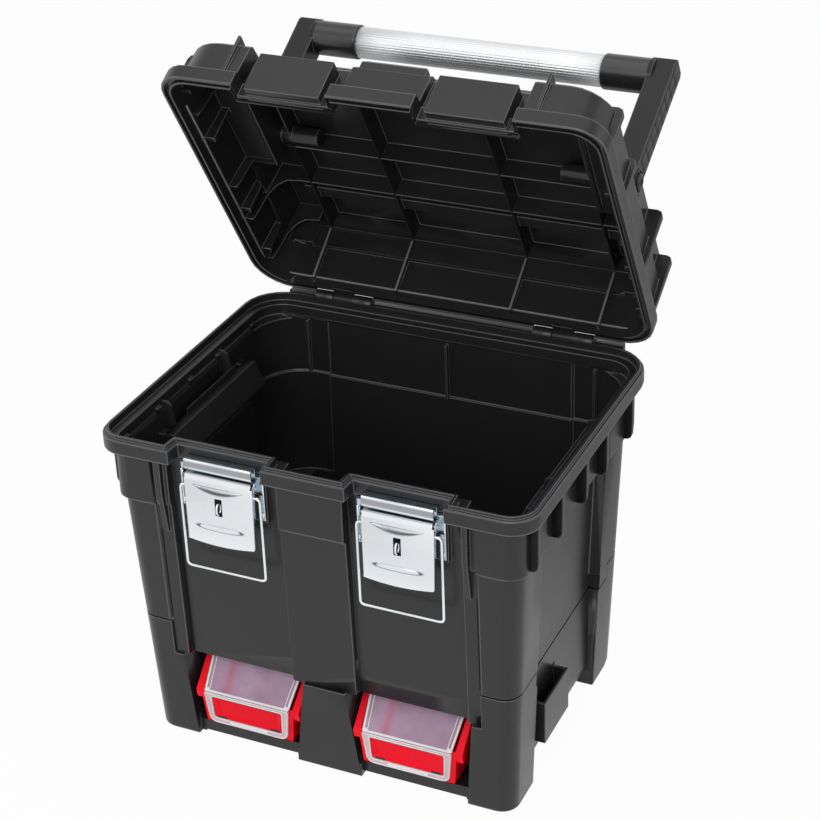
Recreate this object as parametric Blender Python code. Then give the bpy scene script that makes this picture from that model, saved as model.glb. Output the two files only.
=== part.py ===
"""Black moulded tool box with an open lid, a folding handle, two draw latches and two small-parts bins."""

from math import cos, pi, radians, sin

import bmesh
import bpy
import numpy as np
from mathutils import Matrix, Vector

# All sizes below are in millimetres. X runs along the front, Y to the back, Z up.
MM = 0.001
GAP = 0.3
SEAT = 1.3
EDGE = 0.75

# The frame is centred on the open box, so the body itself stands forward of Y = 0.
CENTRE_Y = 50.67

# Outer walls
COLLAR_A = 225.0
COLLAR_B = 177.0
COLLAR_OUT_A = 27.2
COLLAR_OUT_B = 19.6
FOOT_A = COLLAR_A - COLLAR_OUT_A
FOOT_B = COLLAR_B - COLLAR_OUT_B
DRAFT_A = 0.040
DRAFT_B = 0.027
WALL = 3.0
COLLAR_R = 28.0
COLLAR_BACK = COLLAR_B - 5.0
COLLAR_BACK_R = 45.0
COLUMN_R = 18.0
REAR_R = 52.0
BAND_OUT = 4.0
FLOOR_Z = 100.0
SIDE_JOINT_Z = 123.0
POST_TOP_Z = 140.0
BAND_Z = 281.0
RIM_Z = 352.4
COLLAR_Z = RIM_Z - 19.4
COLLAR_TOP_Z = RIM_Z - 3.4
LIP_INSET = 3.5
LIP_T = 3.0
STRIP_X = COLLAR_A - 57.0
PANEL_X = STRIP_X - 16.0
STRIP_D = 3.0
PANEL_D = 10.0
CENTRE_X = 35.0
NOTCH_X = 141.0
NOTCH_IN_X = 44.0
NOTCH_D = 17.0
SIDE_Y0 = -104.0
SIDE_Y1 = 70.0
SIDE_D = 12.0
BAND_SIDE_D = 2.0
BACK_D = 3.0
BACK_X = 140.0
CORNER_X = STRIP_X - 1.0
CORNER_Y = 106.0
REAR_CORNER_Y = 93.0
LOW_SIDE_A = COLLAR_A - 42.0
INNER_LEDGE_Z = 265.0
INNER_SIDE_Z = 285.0
INNER_LEDGE = 2.0
INNER_STEP_Z = COLLAR_Z - 5.0
RIM_LEDGE = 15.5
SIDE_RIB_Y = (-143.0, -81.6, -16.4, 40.7, 116.0)
SIDE_RIB_X = COLLAR_A - 4.5
SIDE_RIB_IN_X = COLLAR_A - 19.0
FRONT_RIB_Z = 248.0
FRONT_RIB_T = 5.0
GROOVE = 1.3

# Lid and hinge
HINGE_Y = COLLAR_BACK + 1.7
HINGE_Z = RIM_Z - 1.8
LID_OPEN = 59.1
KNUCKLE_R = 5.5
PIN_R = 2.0
HINGE_X = 125.0
HINGE_HALF = 33.0
RAIL_OUT = 6.5
RAIL_UP = 1.0
RAIL_END_X = COLLAR_A - 35.0
KNUCKLE_HALF = 11.4
LID_A = COLLAR_A + 1.5
LID_FRONT = COLLAR_B + 1.0
LID_BACK = COLLAR_BACK - 2.0
LID_R = 30.0
LID_LOW_R = 44.0
LID_BACK_R = 40.0
LID_Z = RIM_Z + GAP
LID_H = 94.3
LID_BAND_Z = LID_Z + 16.3
LID_TOP_Z = LID_Z + LID_H
LID_LOW_Z = LID_TOP_Z - 38.0
HIGH_X = LID_A - 48.5
HIGH_FRONT_Y = -108.0
HIGH_BACK_Y = 156.0
SHOULDER_X = LID_A - 16.5
SHOULDER_Y = 11.8
RIB_Z = LID_TOP_Z - 24.5
RIB_T = 2.2
RIB_OUT_X = HIGH_X - 16.0
RIB_X = (-RIB_OUT_X, -65.0, 65.0, RIB_OUT_X)
RIB_Y = (9.0, 69.5, 149.0)
STRIP_Y = (84.0, 100.0)
HOOD_IN_X = 53.5
HOOD_OUT_X = 131.5
HOOD_Y = -170.0
HOOD_Z0 = LID_Z + 2.9
HOOD_Z1 = LID_LOW_Z - 9.5
FIN_IN_X = LID_A - 21.5
FIN_OUT_X = LID_A - 2.5
FIN_LOW_Z = LID_LOW_Z + 1.5
WEB_Y = (-103.0, 69.5, 140.0)

# Handle
PIVOT_Y = -2.5
PIVOT_Z = LID_TOP_Z - 16.5
TUBE_Y = -2.5
TUBE_Z = PIVOT_Z + 127.5
TUBE_R = 16.5
TUBE_WALL = 2.0
ARM_IN_X = HIGH_X + 5.0
ARM_OUT_X = ARM_IN_X + 25.0
TUBE_HALF = ARM_IN_X - 48.0
ARM_HALF = 13.5
SOCKET_R = 18.0
BOLT_R = 4.0
BOLT_HEAD_R = 9.0
BOLT_IN_X = ARM_IN_X - 33.0
BOSS_IN_X = ARM_IN_X - 51.0

# Latches
LATCH_X = 93.0
LEVER_HALF = 37.0
SHEET = 1.2
PAD_Y = -160.4
LATCH_Z0 = 284.0
LATCH_Z1 = 331.5
FLANGE_HALF = 44.5
RIVET_X = 41.6
RIVET_Z = 291.0
STRIP_HALF = 36.0
PIN_Y = -167.0
PIN_Z = 322.0
ROLL_R = 4.0
LEVER_Z = 253.5
LEVER_Y = -171.0
LEVER_TILT = 1.6
BAIL_Y = -168.0
BAIL_Z = 311.5
BAIL_HALF = 42.8
BAIL_R = 1.5
BAIL_LOW_Z = 219.5
STAPLE_R = 1.3

# Bins
BIN_X = 88.5
BIN_FLOOR_Z = 23.0
BIN_TOP_Z = 90.0
BIN_BACK_Y = 6.0
BIN_BOTTOM_HALF = 49.0
BIN_HALF = 55.0
BIN_FLANGE_HALF = 58.5
BIN_T = 2.2
BIN_FRONT_Y = -158.0
BIN_LEAN = 2.2
BIN_LIP_Z = 60.4
FLAP_T = 2.0
FLAP_HALF = 51.0
FLAP_LOW_HALF = 44.0
FLAP_PIN_Z = BIN_FLOOR_Z + 3.9
FLAP_PIN_R = 1.9

# Base
RAIL_Y = -150.0
RAIL_Z0 = 2.5
RAIL_Z1 = 15.0
SILL_Y = -118.0
DECK_Z0 = 95.5
BAY_BACK_Y = 12.0
POST_TOP_HALF = 23.0
POST_FOOT_HALF = 35.6
POST_IN_TOP_X = COLLAR_A - 68.0
POST_IN_FOOT_X = POST_IN_TOP_X - 7.0
SIDE_PANEL_X = COLLAR_A - 33.4
SIDE_PANEL_Z0 = 28.0
HOLDER_Y0 = -90.0
HOLDER_Y1 = -25.0
HOLDER_Z0 = 42.0
HOLDER_Z1 = 90.0
HOLDER_X = SIDE_PANEL_X + 13.9

BLACK = ("black_plastic", (0.030, 0.030, 0.032), 0.42, 0.0)
RED = ("red_plastic", (0.80, 0.012, 0.025), 0.32, 0.0)
CLEAR = ("clear_plastic", (0.86, 0.84, 0.90), 0.15, 0.0)
ZINC = ("zinc_steel", (0.74, 0.79, 0.82), 0.28, 1.0)
ALU = ("ribbed_aluminium", (0.90, 0.91, 0.92), 0.32, 1.0)


def clear_scene():
    """Empty the scene."""
    for obj in list(bpy.data.objects):
        bpy.data.objects.remove(obj, do_unlink=True)


def material(spec):
    """One plain material from a name, colour, roughness and metallic value."""
    name, colour, rough, metal = spec
    found = bpy.data.materials.get(name)
    if found:
        return found
    made = bpy.data.materials.new(name)
    made.use_nodes = True
    shader = made.node_tree.nodes["Principled BSDF"]
    shader.inputs["Base Color"].default_value = (*colour, 1.0)
    shader.inputs["Roughness"].default_value = rough
    shader.inputs["Metallic"].default_value = metal
    return made


def solid(verts, faces):
    """A scratch object from vertices in millimetres, with doubles merged and faces turned outward."""
    mesh = bpy.data.meshes.new("scratch")
    mesh.from_pydata([tuple(float(c) for c in v) for v in verts], [], [tuple(f) for f in faces])
    work = bmesh.new()
    work.from_mesh(mesh)
    bmesh.ops.remove_doubles(work, verts=work.verts, dist=0.001)
    bmesh.ops.recalc_face_normals(work, faces=work.faces)
    work.to_mesh(mesh)
    work.free()
    obj = bpy.data.objects.new("scratch", mesh)
    bpy.context.scene.collection.objects.link(obj)
    return obj


def loft(rings):
    """A closed body through rings of equal length, capped at the first and last ring."""
    count = len(rings[0])
    verts = np.concatenate(rings)
    faces = [list(range(count))[::-1]]
    for level in range(len(rings) - 1):
        low = level * count
        high = low + count
        for i in range(count):
            j = (i + 1) % count
            faces.append((low + i, low + j, high + j, high + i))
    faces.append(list(range(len(verts) - count, len(verts))))
    return solid(verts, faces)


def box(x0, x1, y0, y1, z0, z1):
    """A box between two corners."""
    ring = np.array([(x0, y0), (x1, y0), (x1, y1), (x0, y1)], float)
    return loft([level(ring, z0), level(ring, z1)])


def level(ring, z):
    """A plan ring lifted to one height."""
    return np.column_stack([ring, np.full(len(ring), float(z))])


def prism_x(profile, x0, x1):
    """A profile of (y, z) points carried along X."""
    pts = np.array(profile, float)
    return loft([np.column_stack([np.full(len(pts), x), pts]) for x in (x0, x1)])


def rod_x(y, z, radius, x0, x1, sides=16):
    """A round bar along X."""
    turn = np.arange(sides) * 2 * pi / sides
    return prism_x(np.column_stack([y + radius * np.cos(turn), z + radius * np.sin(turn)]), x0, x1)


def pipe_x(y, z, outer, inner, x0, x1, sides=32):
    """A hollow bar along X, open at both ends."""
    turn = np.arange(sides) * 2 * pi / sides
    ring = np.column_stack([np.cos(turn), np.sin(turn)])
    rows = []
    for x, radius in ((x0, outer), (x1, outer), (x1, inner), (x0, inner)):
        rows.append(np.column_stack([np.full(sides, x), y + radius * ring[:, 0], z + radius * ring[:, 1]]))
    faces = []
    for part in range(4):
        a, b = part * sides, ((part + 1) % 4) * sides
        for i in range(sides):
            j = (i + 1) % sides
            faces.append((a + i, a + j, b + j, b + i))
    return solid(np.concatenate(rows), faces)


def wire(path, radius, sides=8):
    """A round wire along a path of points that lies in one plane."""
    pts = np.array(path, float)
    step = np.diff(pts, axis=0)
    step /= np.linalg.norm(step, axis=1)[:, None]
    normal = np.cross(step[0], step[len(step) // 2])
    if np.linalg.norm(normal) < 1e-6:
        normal = np.cross(step[0], (0.3, 0.5, 0.8))
    normal /= np.linalg.norm(normal)
    along = np.vstack([step[:1], step[:-1] + step[1:], step[-1:]])
    along /= np.linalg.norm(along, axis=1)[:, None]
    turn = np.arange(sides) * 2 * pi / sides
    rings = []
    for i, point in enumerate(pts):
        side = np.cross(normal, along[i])
        near = step[min(i, len(step) - 1)]
        stretch = 1.0 / max(0.5, float(np.dot(near, along[i])))
        rings.append(point + radius * (np.outer(np.cos(turn) * stretch, side) + np.outer(np.sin(turn), normal)))
    return loft(rings)


def bend(corner, before, after, radius, steps=4):
    """Points that round off a right-angled corner of a wire."""
    corner, before, after = (np.array(p, float) for p in (corner, before, after))
    one = (before - corner) / np.linalg.norm(before - corner)
    two = (after - corner) / np.linalg.norm(after - corner)
    centre = corner + radius * (one + two)
    out = []
    for i in range(steps + 1):
        angle = i / steps * pi / 2
        out.append(centre - radius * (two * cos(angle) + one * sin(angle)))
    return out


def combine(target, others, operation):
    """One exact Boolean step with each scratch body in turn, which is then removed."""
    for other in others:
        step = target.modifiers.new("step", "BOOLEAN")
        step.operation = operation
        step.solver = "EXACT"
        step.object = other
        graph = bpy.context.evaluated_depsgraph_get()
        mesh = bpy.data.meshes.new_from_object(target.evaluated_get(graph))
        target.modifiers.clear()
        target.data = mesh
        bpy.data.objects.remove(other, do_unlink=True)
    return target


def add(target, *others):
    """Join bodies into one."""
    return combine(target, others, "UNION")


def cut(target, *others):
    """Take bodies away from one."""
    return combine(target, others, "DIFFERENCE")


def turn_x(angle, y, z):
    """A turn about a line along X."""
    return Matrix.Translation((0, y, z)) @ Matrix.Rotation(radians(angle), 4, "X") @ Matrix.Translation((0, -y, -z))


OPENED = turn_x(-LID_OPEN, HINGE_Y, HINGE_Z)


def finish(obj, name, spec, origin=(0.0, 0.0, 0.0), turned=False):
    """Name a body, bring it to metres in the shared frame and put its origin on its joint axis."""
    place = OPENED if turned else Matrix.Identity(4)
    origin = place @ Vector(origin)
    work = bmesh.new()
    work.from_mesh(obj.data)
    bmesh.ops.transform(work, matrix=place, verts=work.verts)
    bmesh.ops.remove_doubles(work, verts=work.verts, dist=0.002)
    bmesh.ops.dissolve_limit(work, angle_limit=radians(0.05), verts=work.verts, edges=work.edges)
    bmesh.ops.triangulate(work, faces=work.faces)
    bmesh.ops.dissolve_degenerate(work, edges=work.edges, dist=0.002)
    bmesh.ops.transform(work, matrix=Matrix.Scale(MM, 4) @ Matrix.Translation(-origin), verts=work.verts)
    work.to_mesh(obj.data)
    work.free()
    obj.data.materials.clear()
    obj.data.materials.append(material(spec))
    obj.name = name
    obj.data.name = name
    obj.location = (origin - Vector((0.0, CENTRE_Y, 0.0))) * MM
    return obj


def wall_a(z):
    """Half width of the columns at a height."""
    return FOOT_A + DRAFT_A * z


def wall_b(z):
    """Half depth of the columns at a height."""
    return FOOT_B + DRAFT_B * z


def arc(cx, cy, radius, start, steps=6):
    """Points of a rounded plan corner."""
    turn = start + np.arange(steps + 1) / steps * pi / 2
    return [(cx + radius * cos(t), cy + radius * sin(t)) for t in turn]


def front_points(b, strip_x, strip_d, panel_x, panel_d, centre_x, centre_d):
    """Front edge of the plan: column strip, latch panel, centre panel and back out again."""
    half = [
        (-strip_x - EDGE, -b),
        (-strip_x + EDGE, -b + strip_d),
        (-panel_x - EDGE, -b + strip_d),
        (-panel_x + EDGE, -b + panel_d),
        (-centre_x - EDGE, -b + panel_d),
        (-centre_x + EDGE, -b + centre_d),
    ]
    return half + [(-x, y) for x, y in half[::-1]]


def side_points(a, y0, y1, deep):
    """Right edge of the plan, from front to back, with its recess."""
    return [(a, y0 - EDGE), (a - deep, y0 + EDGE), (a - deep, y1 - EDGE), (a, y1 + EDGE)]


def outline(a, front_b, back_b, radii, front, side, notches=(None, None), back_d=0.0):
    """Plan ring of the box, anticlockwise; a notch (x, y) cuts both front or both back corners square."""
    near = corner_points(a, front_b, radii[0], notches[0])
    far = corner_points(a, back_b, radii[1], notches[1])
    right = side_points(a, *side)
    ring = list(front_points(front_b, *front))
    ring += near + right
    ring += [(x, -y) for x, y in far[::-1]]
    ring += back_points(back_b, back_d)
    ring += [(-x, -y) for x, y in far]
    ring += [(-x, y) for x, y in right[::-1]]
    ring += [(-x, y) for x, y in near[::-1]]
    return np.array(ring)


def back_points(b, back_d):
    """Back edge points, from right to left, with a shallow recess."""
    half = [(BACK_X + EDGE, b), (BACK_X - EDGE, b - back_d)]
    return half + [(-x, y) for x, y in half[::-1]]


def corner_points(a, b, radius, notch):
    """Front right corner: an arc, or an L where the base post stands."""
    if notch is None:
        return arc(a - radius, -b + radius, radius, -pi / 2)
    x, y = notch
    down = [(x, -b + (b - y) * t) for t in (0.0, 1 / 3, 2 / 3, 1.0)]
    across = [(x + (a - x) * t, -y) for t in (1 / 3, 2 / 3, 1.0)]
    return down + across


def column_ring(z, inset=0.0, out=0.0, side_d=SIDE_D):
    """Plan of the body with its columns at a height; the back corners are more rounded."""
    front = (STRIP_X, STRIP_D + out * 0.5, PANEL_X + inset, PANEL_D + out, CENTRE_X - inset, STRIP_D)
    deep = wall_b(z) + out - inset
    radii = (COLUMN_R - inset, REAR_R - inset)
    side = (SIDE_Y0 - inset, SIDE_Y1 + inset, side_d)
    return outline(wall_a(z) + out - inset, deep, deep, radii, front, side, (None, None), BACK_D)


def low_ring(z, a, inset=0.0):
    """Plan of the body below the post tops, square in the corners."""
    deep = PANEL_D - STRIP_D
    front = (CORNER_X - inset - 2.0, 0.0, PANEL_X + inset * 0.4, deep, CENTRE_X - inset, 0.0)
    notches = ((CORNER_X - inset, CORNER_Y - inset), (CORNER_X - inset, REAR_CORNER_Y - inset))
    b = wall_b(z) - STRIP_D - inset
    return outline(a - inset, b, b, (1.0, 1.0), front, (SIDE_Y0 + inset, SIDE_Y1 - inset, 0.0), notches)


def collar_ring(inset=0.0):
    """Plan of the collar with its two latch notches."""
    front = (STRIP_X, 0.0, NOTCH_X + inset, NOTCH_D, NOTCH_IN_X - inset, 0.0)
    radii = (COLLAR_R - inset, COLLAR_BACK_R - inset)
    side = (SIDE_Y0, SIDE_Y1, 0.0)
    return outline(COLLAR_A - inset, COLLAR_B - inset, COLLAR_BACK - inset, radii, front, side)


def tub_rings():
    """Rings of the upper body: up the outside, over the rim and down the inside."""
    side_a = wall_a(POST_TOP_Z) - SIDE_D
    inner_top = column_ring(INNER_LEDGE_Z, WALL, 0.0, 0.0)
    thick = WALL + INNER_LEDGE
    return [
        level(low_ring(FLOOR_Z, LOW_SIDE_A), FLOOR_Z),
        level(low_ring(SIDE_JOINT_Z, LOW_SIDE_A), SIDE_JOINT_Z - 0.5),
        level(low_ring(SIDE_JOINT_Z, side_a), SIDE_JOINT_Z + 0.5),
        level(low_ring(POST_TOP_Z, side_a), POST_TOP_Z - 0.5),
        level(column_ring(POST_TOP_Z), POST_TOP_Z + 0.5),
        level(column_ring(BAND_Z - 3.0), BAND_Z - 3.0),
        level(column_ring(BAND_Z, 0.0, BAND_OUT, BAND_SIDE_D), BAND_Z),
        level(column_ring(COLLAR_Z, 0.0, BAND_OUT - 2.0, BAND_SIDE_D), COLLAR_Z),
        level(collar_ring(1.0), COLLAR_Z),
        level(collar_ring(), COLLAR_Z + 1.5),
        level(collar_ring(), COLLAR_TOP_Z - 1.0),
        level(collar_ring(1.0), COLLAR_TOP_Z),
        level(collar_ring(LIP_INSET), COLLAR_TOP_Z),
        level(collar_ring(LIP_INSET), RIM_Z),
        level(collar_ring(LIP_INSET + LIP_T), RIM_Z),
        level(collar_ring(LIP_INSET + LIP_T + 0.5), COLLAR_TOP_Z - 5.0),
        level(collar_ring(RIM_LEDGE), COLLAR_TOP_Z - 6.0),
        level(collar_ring(RIM_LEDGE + 0.5), INNER_STEP_Z + 4.0),
        level(inner_top, INNER_STEP_Z),
        level(inner_top, INNER_SIDE_Z),
        level(column_ring(INNER_LEDGE_Z, WALL), INNER_SIDE_Z - 1.0),
        level(column_ring(INNER_LEDGE_Z, WALL), INNER_LEDGE_Z),
        level(column_ring(INNER_LEDGE_Z, thick), INNER_LEDGE_Z - 1.0),
        level(column_ring(POST_TOP_Z, thick), POST_TOP_Z + WALL + 0.5),
        level(low_ring(POST_TOP_Z, LOW_SIDE_A, thick), POST_TOP_Z + WALL - 0.5),
        level(low_ring(FLOOR_Z, LOW_SIDE_A, thick), FLOOR_Z + WALL + 1.0),
    ]


def side_rib(x_in, x_out, y, half, z0, z1):
    """A hanging rib on the right side with a round foot, carried along X."""
    foot = [(y + half * cos(t), z0 + half + half * sin(t)) for t in pi + np.arange(7) / 6 * pi]
    ring = [(y - half, z1)] + foot + [(y + half, z1)]
    return prism_x(ring, x_in, x_out)


def mirrored(make):
    """The same body for both sides, made by a function of the side sign."""
    return [make(sign) for sign in (-1.0, 1.0)]


def front_rib(sign):
    """A narrow rib beside the front column that runs out towards its foot."""
    face = -wall_b(COLLAR_Z) - BAND_OUT - 0.5
    low = -wall_b(FRONT_RIB_Z) - 1.0
    ring = [
        (face, COLLAR_Z + 2.2), (face, FRONT_RIB_Z + 45.0), (low, FRONT_RIB_Z + 4.0),
        (low + 2.0, FRONT_RIB_Z), (low + 4.8, FRONT_RIB_Z), (face + 9.3, COLLAR_Z + 2.2),
    ]
    x0, x1 = sorted((sign * (PANEL_X + 4.5), sign * (PANEL_X + 4.5 + FRONT_RIB_T)))
    return prism_x(ring, x0, x1)


def tub_ribs():
    """Hanging ribs under the collar at both sides and at the inner edges of the front columns."""
    made = mirrored(front_rib)
    for y in SIDE_RIB_Y:
        right = side_rib(SIDE_RIB_IN_X, SIDE_RIB_X, y, 4.0, BAND_Z + 3.0, COLLAR_Z + 2.0)
        left = side_rib(-SIDE_RIB_X, -SIDE_RIB_IN_X, y, 4.0, BAND_Z + 3.0, COLLAR_Z + 2.0)
        made += [right, left]
    return made


def front_groove(sign, x, step, z0):
    """Cutter for a thin upright joint line in the front, at a step of the plan behind the columns."""
    rings = []
    for z in (z0, FRONT_RIB_Z + 1.0):
        face = -wall_b(z) + step
        x0, x1 = sorted((sign * (x - GROOVE), sign * x))
        rings.append(level(np.array([(x0, face - 9.0), (x1, face - 9.0), (x1, face + GROOVE), (x0, face + GROOVE)]), z))
    return loft(rings)


def rear_shoulder(sign):
    """Lower end of the rear column in front of the base post, down to the side joint."""
    rings = []
    for z in (SIDE_JOINT_Z + 0.5, POST_TOP_Z + 1.5):
        x0, x1 = sorted((sign * (LOW_SIDE_A - 4.0), sign * wall_a(z)))
        near = SIDE_Y1 + EDGE + 0.6
        ring = np.array([(x0, near), (x1, near), (x1, REAR_CORNER_Y - 0.1), (x0, REAR_CORNER_Y - 0.1)])
        rings.append(level(ring, z))
    return loft(rings)


def hinge_rails():
    """Upstanding rail along the back of the collar, broken at the hinges."""
    inner = HINGE_X - HINGE_HALF - 1.0
    outer = HINGE_X + HINGE_HALF + 1.0
    spans = ((-RAIL_END_X, -outer), (-inner, inner), (outer, RAIL_END_X))
    y0, y1 = COLLAR_BACK - 1.6, COLLAR_BACK + RAIL_OUT
    return [box(x0, x1, y0, y1, COLLAR_Z + 5.0, RIM_Z + RAIL_UP) for x0, x1 in spans]


def back_ribs():
    """Inner ribs of the back wall."""
    top = INNER_STEP_Z - 1.0
    face = wall_b(INNER_LEDGE_Z) - WALL
    spots = ((-164.0, face), (0.0, face - BACK_D), (164.0, face))
    return [box(x - 1.5, x + 1.5, y - 5.0, y + 1.5, INNER_LEDGE_Z - 2.0, top) for x, y in spots]


def hinge_spans():
    """X spans of the knuckles on the tub and on the lid, for both hinges."""
    tub, lid = [], []
    for sign in (-1.0, 1.0):
        mid = sign * HINGE_X
        tub.append((mid - HINGE_HALF, mid - KNUCKLE_HALF - GAP))
        tub.append((mid + KNUCKLE_HALF + GAP, mid + HINGE_HALF))
        lid.append((mid - KNUCKLE_HALF, mid + KNUCKLE_HALF))
    return tub, lid


def make_tub():
    """Upper body with collar, ribs, latch pads and hinge knuckles."""
    tub = loft(tub_rings())
    add(tub, *mirrored(rear_shoulder))
    add(tub, *tub_ribs())
    add(tub, *back_ribs())
    add(tub, *hinge_rails())
    for sign in (-1.0, 1.0):
        cut(tub, front_groove(sign, STRIP_X - EDGE - 0.2, STRIP_D, POST_TOP_Z + 4.0))
        cut(tub, front_groove(sign, PANEL_X - EDGE - 0.2, PANEL_D, FLOOR_Z - 5.0))
    pads = []
    for sign in (-1.0, 1.0):
        mid = sign * LATCH_X
        pads.append(box(mid - 46.0, mid + 46.0, PAD_Y, -150.0, LATCH_Z0 - 3.0, LATCH_Z1 + 1.0))
    add(tub, *pads)
    for sign in (-1.0, 1.0):
        mid = sign * HINGE_X
        half = HINGE_HALF + 1.0
        cut(tub, box(mid - half, mid + half, HINGE_Y - 7.2, HINGE_Y + 8.3, COLLAR_Z + 4.0, RIM_Z + 2.6))
    spans = hinge_spans()[0]
    for x0, x1 in spans:
        add(tub, box(x0, x1, HINGE_Y - 6.5, HINGE_Y + 4.9, COLLAR_Z + 1.0, HINGE_Z))
        add(tub, rod_x(HINGE_Y, HINGE_Z, KNUCKLE_R, x0, x1))
    for sign in (-1.0, 1.0):
        mid = sign * HINGE_X
        reach = HINGE_HALF + 4.0
        cut(tub, rod_x(HINGE_Y, HINGE_Z, PIN_R + GAP, mid - reach, mid + reach, 12))
    return finish(tub, "tub", BLACK)


def make_hinge_pins():
    """Steel pins through the knuckles."""
    for sign, side in ((-1.0, "left"), (1.0, "right")):
        mid = sign * HINGE_X
        pin = rod_x(HINGE_Y, HINGE_Z, PIN_R, mid - HINGE_HALF, mid + HINGE_HALF, 12)
        finish(pin, "hinge_pin_" + side, ZINC, (mid, HINGE_Y, HINGE_Z))


def make_inner_rails():
    """Rails on the inner side walls, each a beam on two end blocks with a raised clip plate."""
    wall_x = wall_a(INNER_LEDGE_Z) - WALL - GAP
    for sign, side in ((-1.0, "left"), (1.0, "right")):
        beam = [(18.1, 312.0), (8.1, 312.0), (8.1, 286.0), (29.1, 286.0), (29.1, 289.0), (19.1, 309.0)]
        near = np.array([(sign * (wall_x - d), -92.0, z) for d, z in beam])
        rail = loft([near, near + (0.0, 171.0, 0.0)])
        for y0 in (-92.0, 67.0):
            x0, x1 = sorted((sign * (wall_x - 10.1), sign * wall_x))
            add(rail, box(x0, x1, y0, y0 + 12.0, 288.0, 311.0))
        x0, x1 = sorted((sign * (wall_x - 10.6), sign * (wall_x - 8.6)))
        add(rail, box(x0, x1, -50.0, 50.0, 305.0, 319.0))
        finish(rail, "inner_rail_" + side, BLACK)


def post_ring(a, b):
    """Rounded outer plan of the base."""
    corner = arc(a - COLUMN_R, -b + COLUMN_R, COLUMN_R, -pi / 2)
    rear = arc(a - REAR_R, -b + REAR_R, REAR_R, -pi / 2)
    ring = corner + [(x, -y) for x, y in rear[::-1]]
    ring += [(-x, -y) for x, y in rear] + [(-x, y) for x, y in corner[::-1]]
    return np.array(ring)


def bay_cutter(sign):
    """Opening of one bin bay, narrower at the foot because the posts widen."""
    floor, roof = BIN_FLOOR_Z - GAP, DECK_Z0

    def inner(z):
        return POST_FOOT_HALF + (POST_TOP_HALF - POST_FOOT_HALF) * z / FLOOR_Z

    def outer(z):
        return POST_IN_FOOT_X + (POST_IN_TOP_X - POST_IN_FOOT_X) * z / FLOOR_Z

    rows = []
    for y in (-170.0, BAY_BACK_Y):
        pts = [(inner(floor), floor), (outer(floor), floor), (outer(roof), roof), (inner(roof), roof)]
        rows.append(np.array([(sign * x, y, z) for x, z in pts]))
    return loft(rows)


def front_recess(sign):
    """Space in front of the lower rail and of the deck edge, between centre post and corner post."""
    rows = []
    for y0, y1, z0, z1 in ((-170.0, RAIL_Y, -5.0, 30.0), (-170.0, -136.0, 60.0, 105.0)):
        pts = []
        for z in (z0, z1):
            inner = POST_FOOT_HALF + (POST_TOP_HALF - POST_FOOT_HALF) * z / FLOOR_Z
            outer = POST_IN_FOOT_X + (POST_IN_TOP_X - POST_IN_FOOT_X) * z / FLOOR_Z
            pts.append((inner - 0.2, outer + 0.2, z))
        (a0, b0, low), (a1, b1, high) = pts
        ring = [(a0, low), (b0, low), (b1, high), (a1, high)]
        near = np.array([(sign * x, y0, z) for x, z in ring])
        far = np.array([(sign * x, y1, z) for x, z in ring])
        rows.append(loft([near, far]))
    return rows


def side_holder(sign):
    """Block of the holder on the side of the base."""
    x0, x1 = sorted((sign * (SIDE_PANEL_X - 2.0), sign * HOLDER_X))
    return box(x0, x1, HOLDER_Y0, HOLDER_Y1, HOLDER_Z0, HOLDER_Z1)


def holder_pocket(sign):
    """Cutter for the open-topped pocket of the holder, let a little into the side panel."""
    x0, x1 = sorted((sign * (SIDE_PANEL_X - 1.0), sign * (HOLDER_X - 3.0)))
    return box(x0, x1, HOLDER_Y0 + 3.0, HOLDER_Y1 - 3.0, HOLDER_Z0 + 3.0, HOLDER_Z1 + 7.0)


def leg_hollows(sign):
    """Spaces open below inside the legs and beside the bin bay."""
    spots = (
        (CORNER_X - 6.0, FOOT_A - 5.8, -148.0, -CORNER_Y - 5.0, POST_TOP_Z - 6.0),
        (CORNER_X + 5.0, FOOT_A - 7.8, REAR_CORNER_Y + 5.0, 117.0, POST_TOP_Z - 6.0),
        (POST_IN_TOP_X + 4.0, SIDE_PANEL_X - 3.0, SIDE_Y0 + 4.0, SIDE_Y1 - 4.0, DECK_Z0),
    )
    made = []
    for near, far, y0, y1, top in spots:
        x0, x1 = sorted((sign * near, sign * far))
        made.append(box(x0, x1, y0, y1, -5.0, top))
    return made


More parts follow.
